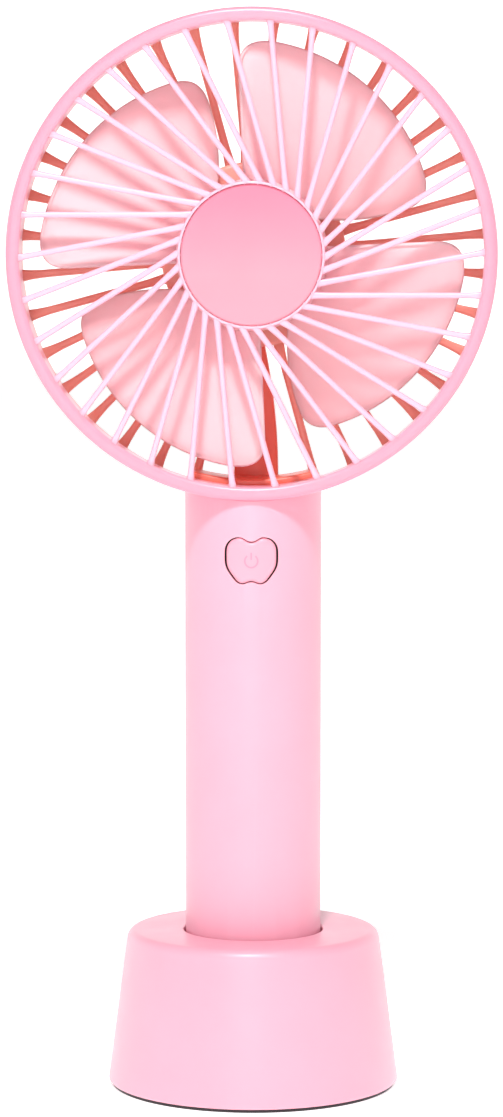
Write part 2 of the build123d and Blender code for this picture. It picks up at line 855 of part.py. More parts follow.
with BuildPart() as handle_front_shell:
    with BuildSketch(Plane.XY.offset(shell_bottom_z)):
        add(half_ring(handle_radius, handle_bore, -1))
    extrude(amount=shell_blank_height)
    with BuildSketch(Plane.XY.offset(lip_bottom_z)):
        add(seam_lip(handle_bore + seam_lip_thickness, seam_lip_height))
    extrude(amount=lip_height)
    for height in bore_rib_heights:
        with BuildSketch(Plane.XY.offset(height)):
            add(bore_rib(-1))
        extrude(amount=bore_rib_thickness)
    add(head_clearance.part, mode=Mode.SUBTRACT)
    # Button opening
    with BuildSketch(handle_plane(button_back_y, button_z)):
        add(button_outline(button_gap))
    extrude(amount=handle_radius, mode=Mode.SUBTRACT)
    # Screw bosses, and the posts that carry the circuit board
    for z, end_y in (
        (lower_screw_z, 0),
        (upper_screw_z, -spigot_half_thickness),
        (board_screw_z, board_front_y),
    ):
        with BuildSketch(handle_plane(end_y, z)):
            with Locations((-screw_x, 0), (screw_x, 0)):
                Circle(boss_radius)
        extrude(amount=end_y + boss_end_y)
        with BuildSketch(handle_plane(end_y, z)):
            with Locations((-screw_x, 0), (screw_x, 0)):
                Circle(screw_pilot_radius)
        extrude(amount=screw_pilot_depth, mode=Mode.SUBTRACT)
handle_front_shell.part.label = "handle_front_shell"
export_step(handle_front_shell.part, "parts/handle_front_shell.step")

with BuildPart() as handle_rear_shell:
    with BuildSketch(Plane.XY.offset(shell_bottom_z)):
        add(half_ring(handle_radius, handle_bore, 1))
    extrude(amount=shell_blank_height)
    # The groove for the front shell's lip is a little larger than it on every side
    with BuildSketch(Plane.XY.offset(lip_bottom_z - lip_play)):
        add(seam_lip(handle_bore + seam_lip_thickness + lip_play, seam_lip_height + lip_play))
    extrude(amount=lip_height + 2 * lip_play, mode=Mode.SUBTRACT)
    for height in bore_rib_heights:
        with BuildSketch(Plane.XY.offset(height)):
            add(bore_rib(1))
        extrude(amount=bore_rib_thickness)
    add(head_clearance.part, mode=Mode.SUBTRACT)
    # Columns for the screws, counterbored from the back
    for z, start_y in ((lower_screw_z, 0), (upper_screw_z, spigot_half_thickness)):
        with BuildSketch(handle_plane(boss_end_y, z)):
            with Locations((-screw_x, 0), (screw_x, 0)):
                Circle(boss_radius + 0.3)
        extrude(amount=boss_end_y - start_y)
        with BuildSketch(handle_plane(handle_radius, z)):
            with Locations((-screw_x, 0), (screw_x, 0)):
                Circle(screw_shank_radius + 0.17)
        extrude(amount=handle_radius, mode=Mode.SUBTRACT)
        with BuildSketch(handle_plane(handle_radius, z)):
            with Locations((-screw_x, 0), (screw_x, 0)):
                Circle(screw_head_radius + 0.15)
        extrude(amount=handle_radius - counterbore_floor_y, mode=Mode.SUBTRACT)
    # Openings for the charging socket and the charge light
    with BuildSketch(handle_plane(handle_radius, usb_z)):
        SlotOverall(usb_width + 1.8, usb_height + 1.6)
    extrude(amount=opening_depth, mode=Mode.SUBTRACT)
    with BuildSketch(handle_plane(handle_radius, led_z)):
        Circle(light_pipe_radius + 0.1)
    extrude(amount=opening_depth, mode=Mode.SUBTRACT)
handle_rear_shell.part.label = "handle_rear_shell"
export_step(handle_rear_shell.part, "parts/handle_rear_shell.step")

cap_skirt_radius = handle_bore - cap_clearance
with BuildPart() as handle_end_cap:
    with BuildSketch(Plane.XZ):
        Polygon(
            (0, handle_bottom_z),
            (handle_radius, handle_bottom_z),
            (handle_radius, shell_bottom_z),
            (cap_skirt_radius, shell_bottom_z),
            (cap_skirt_radius, shell_bottom_z + cap_skirt_height),
            (cap_skirt_radius - cap_skirt_wall, shell_bottom_z + cap_skirt_height),
            (cap_skirt_radius - cap_skirt_wall, shell_bottom_z),
            (0, shell_bottom_z),
            align=None,
        )
    revolve(axis=Axis.Z)
    outer_edge = handle_end_cap.edges().filter_by(GeomType.CIRCLE).group_by(Axis.Z)[0]
    fillet(outer_edge, end_cap_fillet)
handle_end_cap.part.label = "handle_end_cap"
export_step(handle_end_cap.part, "parts/handle_end_cap.step")

screw_places = [(x, z) for z in (lower_screw_z, upper_screw_z) for x in (-screw_x, screw_x)]
for index, (x, z) in enumerate(screw_places):
    with BuildPart() as handle_screw:
        with BuildSketch(handle_plane(counterbore_floor_y + screw_head_height, z)):
            with Locations((x, 0)):
                Circle(screw_head_radius)
        extrude(amount=screw_head_height)
        with BuildSketch(handle_plane(counterbore_floor_y, z)):
            with Locations((x, 0)):
                Circle(screw_shank_radius)
        extrude(amount=counterbore_floor_y + screw_pilot_depth - 1.0)
        with BuildSketch(handle_plane(counterbore_floor_y + screw_head_height, z)):
            with Locations((x, 0)):
                Rectangle(2.2, 0.5)
                Rectangle(0.5, 2.2)
        extrude(amount=0.7, mode=Mode.SUBTRACT)
    handle_screw.part.label = f"handle_screw_{index + 1}"
    export_step(handle_screw.part, f"parts/handle_screw_{index + 1}.step")

# ---- Power button ----

switch_floor_y = board_front_y - 0.7
plunger_back_y = switch_floor_y - button_travel - 0.2
plunger_front_y = board_front_y - switch_height - plunger_proud
flange_outer_radius = handle_bore - button_travel + 0.1
flange_front_y = -flange_outer_radius
flange_width = button_width + 2 * (button_gap + flange_margin)
flange_height = button_height + 2 * flange_margin

with BuildPart() as power_button:
    with BuildSketch(handle_plane(button_back_y, button_z)):
        add(button_outline(0))
    extrude(amount=handle_radius)
    with Locations((0, 0, button_z)):
        Cylinder(handle_radius + button_proud, 2 * button_height, mode=Mode.INTERSECT)
    # Flange behind the opening, and the stem that reaches the switch
    with BuildSketch(Plane.XY.offset(button_z - flange_height / 2)):
        Circle(flange_outer_radius)
        Circle(flange_outer_radius - flange_wall, mode=Mode.SUBTRACT)
        with Locations((0, flange_front_y)):
            Rectangle(flange_width, flange_outer_radius, mode=Mode.INTERSECT)
    extrude(amount=flange_height)
    with BuildSketch(handle_plane(plunger_front_y, button_z)):
        Circle(button_stem_radius)
    extrude(amount=plunger_front_y - flange_front_y - flange_wall / 2)
power_button.part.label = "power_button"
export_step(power_button.part, "parts/power_button.step")

with BuildPart() as switch_plunger:
    with BuildSketch(handle_plane(plunger_back_y, button_z)):
        Circle(plunger_radius)
    extrude(amount=plunger_back_y - plunger_front_y)
switch_plunger.part.label = "switch_plunger"
export_step(switch_plunger.part, "parts/switch_plunger.step")

# ---- Circuit board ----

with BuildPart() as switch_body:
    with BuildSketch(handle_plane(board_front_y, button_z)):
        Rectangle(switch_size, switch_size)
    extrude(amount=switch_height)
    with BuildSketch(handle_plane(switch_floor_y, button_z)):
        Circle(plunger_radius + 0.05)
    extrude(amount=switch_height, mode=Mode.SUBTRACT)
switch_body.part.label = "switch_body"
export_step(switch_body.part, "parts/switch_body.step")

with BuildPart() as circuit_board:
    board_mid_z = (board_bottom_z + board_top_z) / 2
    with BuildSketch(handle_plane(board_back_y, board_mid_z)):
        RectangleRounded(board_width, board_top_z - board_bottom_z, 1.0)
    extrude(amount=board_thickness)
    with BuildSketch(handle_plane(board_back_y, board_screw_z)):
        with Locations((-screw_x, 0), (screw_x, 0)):
            Circle(1.05)
    extrude(amount=board_thickness, mode=Mode.SUBTRACT)
circuit_board.part.label = "circuit_board"
export_step(circuit_board.part, "parts/circuit_board.step")

for index, side in enumerate((-1, 1)):
    with BuildPart() as board_screw:
        with BuildSketch(handle_plane(board_back_y + 1.1, board_screw_z)):
            with Locations((side * screw_x, 0)):
                Circle(1.7)
        extrude(amount=1.1)
        with BuildSketch(handle_plane(board_back_y, board_screw_z)):
            with Locations((side * screw_x, 0)):
                Circle(0.9)
        extrude(amount=board_thickness + 4.5)
    board_screw.part.label = f"board_screw_{index + 1}"
    export_step(board_screw.part, f"parts/board_screw_{index + 1}.step")

with BuildPart() as charge_socket:
    # An upright socket whose mouth sits just inside the handle's back
    socket_mouth_y = handle_radius - 0.9
    with BuildSketch(handle_plane(socket_mouth_y, usb_z)):
        RectangleRounded(usb_width, usb_height, 0.8)
    extrude(amount=socket_mouth_y - board_back_y)
    with BuildSketch(handle_plane(socket_mouth_y, usb_z)):
        RectangleRounded(usb_width - 0.6, usb_height - 0.6, 0.6)
        with Locations((0, 0.2)):
            Rectangle(usb_width - 3.2, 0.6, mode=Mode.SUBTRACT)
    extrude(amount=5.5, mode=Mode.SUBTRACT)
charge_socket.part.label = "charge_socket"
export_step(charge_socket.part, "parts/charge_socket.step")

with BuildPart() as charge_led:
    with BuildSketch(handle_plane(board_back_y + 0.8, led_z)):
        Rectangle(2.0, 1.2)
    extrude(amount=0.8)
charge_led.part.label = "charge_led"
export_step(charge_led.part, "parts/charge_led.step")

with BuildPart() as light_pipe:
    with BuildSketch(handle_plane(handle_radius - 0.1, led_z)):
        Circle(light_pipe_radius)
    extrude(amount=handle_radius - 0.1 - board_back_y - 1.0)
light_pipe.part.label = "light_pipe"
export_step(light_pipe.part, "parts/light_pipe.step")

with BuildPart() as charge_chip:
    with BuildSketch(handle_plane(board_back_y + 1.5, chip_z)):
        with Locations((-chip_x, 0)):
            Rectangle(3.9, 4.9)
    extrude(amount=1.5)
charge_chip.part.label = "charge_chip"
export_step(charge_chip.part, "parts/charge_chip.step")

# ---- Cell, its pads and tabs ----

with BuildPart() as battery_cell:
    with BuildSketch(Plane.XY.offset(cell_bottom_z)):
        Circle(cell_radius)
    extrude(amount=cell_length - cell_button_height)
    fillet(battery_cell.edges(), 0.6)
    with BuildSketch(Plane.XY.offset(cell_top_z - cell_button_height)):
        Circle(cell_button_radius)
    extrude(amount=cell_button_height)
battery_cell.part.label = "battery_cell"
export_step(battery_cell.part, "parts/battery_cell.step")

leg_x = cell_radius + 0.2
with BuildPart() as tab_negative:
    # A strip under the cell that turns up along its side
    with BuildSketch(Plane.XZ.offset(tab_width / 2)):
        Polygon(
            (3.0, cell_bottom_z - tab_thickness),
            (3.0, cell_bottom_z),
            (-leg_x, cell_bottom_z),
            (-leg_x, cell_bottom_z + 6.0),
            (-leg_x - tab_thickness, cell_bottom_z + 6.0),
            (-leg_x - tab_thickness, cell_bottom_z - tab_thickness),
            align=None,
        )
    extrude(amount=-tab_width)
    with BuildSketch(Plane.XY.offset(cell_bottom_z)):
        with Locations((-leg_x, 2.25), (-leg_x, -2.25)):
            Rectangle(1.0, 1.5)
    extrude(amount=6.0, mode=Mode.SUBTRACT)
tab_negative.part.label = "tab_negative"
export_step(tab_negative.part, "parts/tab_negative.step")

with BuildPart() as tab_positive:
    with BuildSketch(Plane.XY.offset(cell_top_z)):
        with Locations((1.5, 0)):
            RectangleRounded(9.0, tab_width, 0.8)
    extrude(amount=tab_thickness)
tab_positive.part.label = "tab_positive"
export_step(tab_positive.part, "parts/tab_positive.step")

with BuildPart() as cell_pad:
    # A foam disc between the lower tab and the end cap
    with BuildSketch(Plane.XY.offset(shell_bottom_z)):
        Circle(cell_radius)
    extrude(amount=cell_bottom_z - tab_thickness - shell_bottom_z)
cell_pad.part.label = "cell_pad"
export_step(cell_pad.part, "parts/cell_pad.step")

# ---- Leads ----


def lead(name, points, bend):
    """An insulated lead of round section along rounded straight runs."""
    with BuildPart() as wire:
        with BuildLine() as route:
            FilletPolyline(*points, radius=bend)
        with BuildSketch(Plane(origin=route.line @ 0, z_dir=route.line % 0)):
            Circle(lead_radius)
        sweep()
    wire.part.label = name
    export_step(wire.part, f"parts/{name}.step")


outer_x = -leg_x - tab_thickness - lead_radius
lead(
    "lead_battery_black",
    [
        (outer_x, 0, cell_bottom_z + 1.5),
        (outer_x, 0, 79.4),
        (-2.9, 0, 81.0),
        (-2.9, -2.6, 90.5),
        (-2.9, board_front_y, 90.5),
    ],
    1.5,
)
lead(
    "lead_battery_red",
    [
        (3.4, 0, cell_top_z + tab_thickness),
        (3.4, 0, 84.0),
        (3.4, -2.6, 90.5),
        (3.4, board_front_y, 90.5),
    ],
    1.5,
)
duct_top_x = (duct_top_left_x + duct_top_right_x) / 2
duct_bottom_x = (duct_bottom_left_x + duct_bottom_right_x) / 2
for name, side in (("lead_motor_red", 1), ("lead_motor_black", -1)):
    lead(
        name,
        [
            (side * 2.6, board_back_y, 112.6),
            (side * 2.6, lead_y, 112.6),
            (duct_bottom_x + side * 0.8, lead_y, 121.0),
            (duct_top_x + side * 0.65, lead_y, 155.0),
            (side * 6.0, lead_y, 163.0),
            (side * 6.0, lead_y, head_z - 1.0),
        ],
        2.0,
    )
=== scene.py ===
import json
import math

import bmesh
import bpy
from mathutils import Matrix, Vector


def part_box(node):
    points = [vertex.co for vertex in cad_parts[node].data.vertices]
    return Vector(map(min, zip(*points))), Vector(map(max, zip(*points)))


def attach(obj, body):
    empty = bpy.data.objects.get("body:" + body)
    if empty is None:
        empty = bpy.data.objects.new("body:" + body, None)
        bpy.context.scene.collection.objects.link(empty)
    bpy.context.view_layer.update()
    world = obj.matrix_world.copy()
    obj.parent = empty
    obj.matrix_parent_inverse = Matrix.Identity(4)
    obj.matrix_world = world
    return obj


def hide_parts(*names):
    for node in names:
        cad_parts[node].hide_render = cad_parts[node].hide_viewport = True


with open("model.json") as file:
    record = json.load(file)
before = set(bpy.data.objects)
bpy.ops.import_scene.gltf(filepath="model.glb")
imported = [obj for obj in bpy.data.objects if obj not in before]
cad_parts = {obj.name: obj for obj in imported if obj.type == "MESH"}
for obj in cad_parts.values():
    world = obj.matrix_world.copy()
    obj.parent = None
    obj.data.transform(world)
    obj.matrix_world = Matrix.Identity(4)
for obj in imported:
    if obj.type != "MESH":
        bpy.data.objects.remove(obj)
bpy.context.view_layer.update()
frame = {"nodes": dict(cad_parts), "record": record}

# A handheld electric fan in its base. Shapes are written in millimetres in the
# frame's own axes (+Z up, the fan blows towards -Y) and scaled as they are made.

MM = 0.001
NODES = frame["nodes"]


def low(node, axis):
    """The lowest coordinate of a CAD node, in millimetres."""
    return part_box(node)[0][axis] / MM


def high(node, axis):
    """The highest coordinate of a CAD node, in millimetres."""
    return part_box(node)[1][axis] / MM


# ---- Sizes taken from the frame ----

HEAD_RADIUS = 49.0
HEAD_Z = (low("centre_cap", 2) + high("centre_cap", 2)) / 2
FRONT_Y = low("front_grille", 1)
TONGUE_BACK_Y = high("front_grille", 1)
BACK_Y = high("rear_housing", 1)
HANDLE_RADIUS = 13.85
HANDLE_BOTTOM_Z = low("handle_end_cap", 2)
SHELL_BOTTOM_Z = low("handle_front_shell", 2)
BUTTON_Z = (low("power_button", 2) + high("power_button", 2)) / 2
BASE_BOTTOM_RADIUS = high("base_shell", 0)
BASE_FOOT_Z = low("base_shell", 2)
BASE_TOP_Z = high("base_shell", 2)
PAD_RADIUS = high("base_foot_pad", 0)
CAP_RADIUS = high("centre_cap", 0)

# ---- Sizes of the details ----

HANDLE_WALL = 1.6
HANDLE_BORE = HANDLE_RADIUS - HANDLE_WALL
BASE_TOP_RADIUS = 25.65
BASE_WALL = 2.2
SOCKET_RADIUS = 14.25
SOCKET_OUTER = SOCKET_RADIUS + 1.8
SOCKET_FLOOR = 2.0
FOOT_GROOVES = (27.0, 22.0, 17.0, 12.0, 7.0)
GROOVE_WIDTH = 1.5
GROOVE_DEPTH = 0.25
SEAM_Y = -9.0
SHROUD_WALL = 1.2
SEAT_RADIUS = 18.8

# ---- Mesh tools ----


def new_object(name, vertices, faces, angle=32):
    """A smooth-shaded mesh object from points in millimetres, sharp only at real edges."""
    mesh = bpy.data.meshes.new(name)
    mesh.from_pydata([tuple(c * MM for c in v) for v in vertices], [], faces)
    mesh.validate()
    work = bmesh.new()
    work.from_mesh(mesh)
    bmesh.ops.remove_doubles(work, verts=work.verts, dist=0.002 * MM)
    bmesh.ops.recalc_face_normals(work, faces=work.faces)
    work.to_mesh(mesh)
    work.free()
    mesh.polygons.foreach_set("use_smooth", [True] * len(mesh.polygons))
    mesh.set_sharp_from_angle(angle=math.radians(angle))
    obj = bpy.data.objects.new(name, mesh)
    bpy.context.scene.collection.objects.link(obj)
    return obj


def rounded(points, steps=5):
    """A closed outline with its corners rounded. Each point is (a, b, radius)."""
    out = []
    count = len(points)
    for i, (a, b, radius) in enumerate(points):
        here = Vector((a, b))
        before = Vector(points[i - 1][:2]) - here
        after = Vector(points[(i + 1) % count][:2]) - here
        if radius <= 0:
            out.append((a, b))
            continue
        turn = before.angle(after)
        reach = radius / math.tan(turn / 2)
        reach = min(reach, before.length * 0.49, after.length * 0.49)
        radius = reach * math.tan(turn / 2)
        start = here + before.normalized() * reach
        end = here + after.normalized() * reach
        middle = (before.normalized() + after.normalized()).normalized()
        centre = here + middle * (radius / math.sin(turn / 2))
        from_start = start - centre
        sweep = from_start.angle_signed(end - centre)
        for k in range(steps + 1):
            part = -sweep * k / steps
            cos, sin = math.cos(part), math.sin(part)
            x = from_start.x * cos - from_start.y * sin
            y = from_start.x * sin + from_start.y * cos
            out.append((centre.x + x, centre.y + y))
    return out


def lathe_points(profile, segments, place):
    """Vertices and faces of a closed (radius, height) outline turned about an axis."""
    vertices, faces, rings = [], [], []
    for radius, height in profile:
        if radius < 1e-4:
            rings.append([len(vertices)])
            vertices.append(place(0.0, 0.0, height))
            continue
        rings.append(list(range(len(vertices), len(vertices) + segments)))
        for k in range(segments):
            angle = 2 * math.pi * k / segments
            vertices.append(
                place(radius * math.cos(angle), radius * math.sin(angle), height)
            )
    for i, ring in enumerate(rings):
        other = rings[(i + 1) % len(rings)]
        for k in range(segments):
            n = (k + 1) % segments
            if len(ring) == 1 and len(other) == 1:
                break
            if len(ring) == 1:
                faces.append((ring[0], other[k], other[n]))
            elif len(other) == 1:
                faces.append((ring[k], other[0], ring[n]))
            else:
                faces.append((ring[k], other[k], other[n], ring[n]))
    return vertices, faces


def upright(x, y, height):
    """Places lathe points about the handle's axis."""
    return (x, y, height)


def headwise(x, y, depth):
    """Places lathe points about the head's axis, with height running along +Y."""
    return (x, depth, HEAD_Z + y)


def lathe(name, profile, place, segments=160):
    """An object from a closed (radius, height) outline turned about an axis."""
    vertices, faces = lathe_points(profile, segments, place)
    return new_object(name, vertices, faces)


def merge(name, parts, angle=32):
    """One object from several (vertices, faces) groups."""
    vertices, faces = [], []
    for part_vertices, part_faces in parts:
        base = len(vertices)
        vertices.extend(part_vertices)
        faces.extend(tuple(base + i for i in face) for face in part_faces)
    return new_object(name, vertices, faces, angle)


def loft(rings):
    """A closed solid through rings with the same number of points, capped at both ends."""
    count = len(rings[0])
    vertices = [point for ring in rings for point in ring]
    faces = []
    for i in range(len(rings) - 1):
        for k in range(count):
            n = (k + 1) % count
            faces.append(
                (i * count + k, i * count + n, (i + 1) * count + n, (i + 1) * count + k)
            )
    faces.append(tuple(range(count)))
    last = (len(rings) - 1) * count
    faces.append(tuple(last + k for k in reversed(range(count))))
    return vertices, faces


def inset_outline(outline, distance):
    """A closed outline moved inwards along its own normals."""
    count = len(outline)
    area = sum(
        outline[i - 1][0] * outline[i][1] - outline[i][0] * outline[i - 1][1]
        for i in range(count)
    )
    side = 1 if area > 0 else -1
    out = []
    for i, (x, y) in enumerate(outline):
        px, py = outline[i - 1]
        nx, ny = outline[(i + 1) % count]
        tx, ty = nx - px, ny - py
        length = math.hypot(tx, ty) or 1.0
        out.append((x - side * ty / length * distance, y + side * tx / length * distance))
    return out


def edge_levels(front, back, edge, steps):
    """The (inset, depth) levels of a flat solid whose two edges are rounded."""
    levels = []
    for k in range(steps + 1):
        angle = math.pi / 2 * k / steps
        levels.append((edge * (1 - math.sin(angle)), front + edge * (1 - math.cos(angle))))
    for k in range(steps, -1, -1):
        angle = math.pi / 2 * k / steps
        levels.append((edge * (1 - math.sin(angle)), back - edge * (1 - math.cos(angle))))
    return levels


def slab(outline, front, back, edge, place, steps=4):
    """A flat solid between two depths with rounded edges all round."""
    return loft(
        [
            [place(x, y, depth) for x, y in inset_outline(outline, inset)]
            for inset, depth in edge_levels(front, back, edge, steps)
        ]
    )


def polar(radius, angle):
    """A point from its radius and its angle in degrees."""
    return (radius * math.cos(math.radians(angle)), radius * math.sin(math.radians(angle)))


def bar_section(width, depth, corner, count=5):
    """A rounded rectangle across a rib: (across, depth) points about its middle."""
    half_w, half_d = width / 2, depth / 2
    corner = min(corner, half_w * 0.98, half_d * 0.98)
    return rounded(
        [
            (-half_w, -half_d, corner),
            (half_w, -half_d, corner),
            (half_w, half_d, corner),
            (-half_w, half_d, corner),
        ],
        count,
    )


def rib(stations, depth_middle, depth_size, corner):
    """A rib through (x, y, width) stations of its middle line, seen from the front."""
    rings = []
    for i, (x, y, width) in enumerate(stations):
        ax, ay, _ = stations[max(i - 1, 0)]
        bx, by, _ = stations[min(i + 1, len(stations) - 1)]
        length = math.hypot(bx - ax, by - ay)
        across = (-(by - ay) / length, (bx - ax) / length)
        rings.append(
            [
                headwise(x + across[0] * s, y + across[1] * s, depth_middle + d)
                for s, d in bar_section(width, depth_size, corner)
            ]
        )
    return loft(rings)


def plate(outer, holes, front, back, edge, steps=4):
    """A flat solid with holes and rounded edges, as (x, y, depth) points and faces.

    Blender fills the flat front between the outlines, and the edges are lofted round it.
    """
    loops = [(outer, 1)] + [(hole, -1) for hole in holes]
    curve = bpy.data.curves.new("fill", "CURVE")
    curve.dimensions = "2D"
    curve.fill_mode = "BOTH"
    for outline, side in loops:
        spline = curve.splines.new("POLY")
        face = inset_outline(outline, side * edge)
        spline.points.add(len(face) - 1)
        for point, (x, y) in zip(spline.points, face):
            point.co = (x * MM, y * MM, 0, 1)
        spline.use_cyclic_u = True
    holder = bpy.data.objects.new("fill", curve)
    bpy.context.scene.collection.objects.link(holder)
    bpy.context.view_layer.update()
    mesh = bpy.data.meshes.new_from_object(holder)
    flat = [(v.co.x / MM, v.co.y / MM) for v in mesh.vertices]
    cells = [tuple(cell.vertices) for cell in mesh.polygons]
    bpy.data.objects.remove(holder)
    bpy.data.curves.remove(curve)
    bpy.data.meshes.remove(mesh)
    count = len(flat)
    vertices = [(x, y, front) for x, y in flat] + [(x, y, back) for x, y in flat]
    faces = cells + [tuple(count + i for i in reversed(cell)) for cell in cells]
    levels = edge_levels(front, back, edge, steps)
    for outline, side in loops:
        start, size = len(vertices), len(outline)
        for inset, depth in levels:
            vertices += [(x, y, depth) for x, y in inset_outline(outline, side * inset)]
        for i in range(len(levels) - 1):
            for k in range(size):
                n = (k + 1) % size
                a, b = start + i * size, start + (i + 1) * size
                faces.append((a + k, a + n, b + n, b + k))
    return vertices, faces


# ---- Materials ----


WEAR = 0.05


def grain_material(name, colour, rough, **look):
    """A moulded or metal surface with fine grain, slow colour drift and light wear.

    look may hold metallic, coat, coat_rough, sheen, subsurface, transmission, grain
    (its size in millimetres), bump and drift.
    """
    material = bpy.data.materials.new(name)
    material.use_nodes = True
    tree = material.node_tree
    nodes, links = tree.nodes, tree.links
    shader = nodes["Principled BSDF"]
    shader.inputs["Metallic"].default_value = look.get("metallic", 0.0)
    shader.inputs["Coat Weight"].default_value = look.get("coat", 0.0)
    shader.inputs["Coat Roughness"].default_value = look.get("coat_rough", 0.2)
    shader.inputs["Sheen Weight"].default_value = look.get("sheen", 0.0)
    shader.inputs["Subsurface Weight"].default_value = look.get("subsurface", 0.0)
    shader.inputs["Subsurface Scale"].default_value = 0.004
    shader.inputs["Subsurface Radius"].default_value = (1.0, 0.55, 0.6)
    shader.inputs["Transmission Weight"].default_value = look.get("transmission", 0.0)
    place = nodes.new("ShaderNodeTexCoord")

    drift = nodes.new("ShaderNodeTexNoise")
    drift.inputs["Scale"].default_value = 45.0
    drift.inputs["Detail"].default_value = 4.0
    links.new(place.outputs["Object"], drift.inputs["Vector"])
    tint = nodes.new("ShaderNodeValToRGB")
    amount = look.get("drift", 0.03)
    dark = tuple(c * (1 - amount) for c in colour)
    light = tuple(min(c * (1 + amount), 1.0) for c in colour)
    tint.color_ramp.elements[0].position = 0.3
    tint.color_ramp.elements[0].color = (*dark, 1)
    tint.color_ramp.elements[1].position = 0.7
    tint.color_ramp.elements[1].color = (*light, 1)
    links.new(drift.outputs["Fac"], tint.inputs["Fac"])
    links.new(tint.outputs["Color"], shader.inputs["Base Color"])

    grain = nodes.new("ShaderNodeTexNoise")
    grain.inputs["Scale"].default_value = 1.0 / (look.get("grain", 0.12) * MM)
    grain.inputs["Detail"].default_value = 3.0
    grain.inputs["Roughness"].default_value = 0.55
    links.new(place.outputs["Object"], grain.inputs["Vector"])
    bump = nodes.new("ShaderNodeBump")
    bump.inputs["Strength"].default_value = look.get("bump", 0.12)
    bump.inputs["Distance"].default_value = 0.00003
    links.new(grain.outputs["Fac"], bump.inputs["Height"])
    links.new(bump.outputs["Normal"], shader.inputs["Normal"])

    smudge = nodes.new("ShaderNodeTexNoise")
    smudge.inputs["Scale"].default_value = 160.0
    smudge.inputs["Detail"].default_value = 5.0
    links.new(place.outputs["Object"], smudge.inputs["Vector"])
    sweep = nodes.new("ShaderNodeMapRange")
    sweep.inputs["From Min"].default_value = 0.3
    sweep.inputs["From Max"].default_value = 0.7
    sweep.inputs["To Min"].default_value = max(rough - WEAR, 0.02)
    sweep.inputs["To Max"].default_value = min(rough + WEAR, 1.0)
    links.new(smudge.outputs["Fac"], sweep.inputs["Value"])
    links.new(sweep.outputs["Result"], shader.inputs["Roughness"])
    return material


def fade(material, other, measure, start, end):
    """Turns a look's colour into another between two places, both in millimetres.

    measure is "out" for the distance from the head's axis, or "up" for the height.
    """
    tree = material.node_tree
    nodes, links = tree.nodes, tree.links
    shader = nodes["Principled BSDF"]
    first = shader.inputs["Base Color"].links[0].from_socket
    place = nodes.new("ShaderNodeTexCoord")
    offset = nodes.new("ShaderNodeVectorMath")
    offset.operation = "SUBTRACT"
    offset.inputs[1].default_value = (0.0, 0.0, HEAD_Z * MM)
    links.new(place.outputs["Object"], offset.inputs[0])
    if measure == "out":
        flatten = nodes.new("ShaderNodeVectorMath")
        flatten.operation = "MULTIPLY"
        flatten.inputs[1].default_value = (1.0, 0.0, 1.0)
        links.new(offset.outputs["Vector"], flatten.inputs[0])
        size = nodes.new("ShaderNodeVectorMath")
        size.operation = "LENGTH"
        links.new(flatten.outputs["Vector"], size.inputs[0])
        value = size.outputs["Value"]
    else:
        split = nodes.new("ShaderNodeSeparateXYZ")
        links.new(offset.outputs["Vector"], split.inputs["Vector"])
        value = split.outputs["Z"]
    share = nodes.new("ShaderNodeMapRange")
    share.inputs["From Min"].default_value = start * MM
    share.inputs["From Max"].default_value = end * MM
    links.new(value, share.inputs["Value"])
    mix = nodes.new("ShaderNodeMix")
    mix.data_type = "RGBA"
    mix.inputs["B"].default_value = (*other, 1)
    links.new(share.outputs["Result"], mix.inputs["Factor"])
    links.new(first, mix.inputs["A"])
    links.new(mix.outputs["Result"], shader.inputs["Base Color"])


def dress(obj, material):
    """Gives an object one material."""
    obj.data.materials.clear()
    obj.data.materials.append(material)


SHELL = grain_material(
    "shell_pink", (0.93, 0.42, 0.53), 0.36, subsurface=0.12, coat=0.5, coat_rough=0.45
)
GRILLE = grain_material(
    "grille_pink", (0.94, 0.50, 0.63), 0.33, subsurface=0.2, coat=0.3, coat_rough=0.3
)
fade(GRILLE, (0.93, 0.33, 0.44), "out", 45.5, 47.0)
# Inside the shroud the housing is painted salmon: painted shade and painted glow of light
# through the thin pink plastic. From 47.9 mm out it fades to the plastic's own pink.
HOUSING = grain_material(
    "housing_pink", (0.93, 0.40, 0.33), 0.36, subsurface=0.2, coat=0.15, coat_rough=0.3
)
fade(HOUSING, (0.93, 0.38, 0.50), "out", 47.9, 48.6)
# The wire duct is moulded in the housing's pink plastic; this deep red copy of that plastic
# is painted shade for the duct lying in shadow behind the blades.
DUCT_PAINTED_SHADE = grain_material(
    "duct_painted_shade", (0.88, 0.17, 0.11), 0.36, subsurface=0.15, coat=0.15, coat_rough=0.3
)
# The cap is painted darker towards its top: painted shade on the upper part of the dished
# face, which turns down away from the light above.
CAP = grain_material(
    "cap_pink", (0.93, 0.31, 0.39), 0.38, subsurface=0.12, coat=0.2, coat_rough=0.3
)
fade(CAP, (0.92, 0.19, 0.30), "up", -4.0, 15.0)
BLADE = grain_material(
    "blade_pink", (0.95, 0.57, 0.60), 0.42, subsurface=0.35, coat=0.05
)
BUTTON = grain_material("button_pink", (0.93, 0.40, 0.50), 0.40, subsurface=0.12)
ICON = grain_material("icon_rose", (0.80, 0.30, 0.42), 0.45)
RUBBER = grain_material(
    "foot_rubber", (0.035, 0.03, 0.033), 0.75, grain=0.2, bump=0.3, sheen=0.1
)
STEEL = grain_material(
    "screw_steel", (0.60, 0.60, 0.62), 0.28, metallic=1.0, grain=0.08, bump=0.2
)
CAN = grain_material(
    "motor_steel", (0.66, 0.67, 0.69), 0.24, metallic=1.0, grain=0.3, bump=0.08
)
NYLON = grain_material("motor_nylon", (0.80, 0.77, 0.68), 0.5, subsurface=0.2)
MAGNET = grain_material("magnet_black", (0.045, 0.045, 0.05), 0.6, grain=0.25, bump=0.4)
BRONZE = grain_material(
    "bush_brass", (0.62, 0.42, 0.18), 0.38, metallic=1.0, grain=0.1, bump=0.3
)
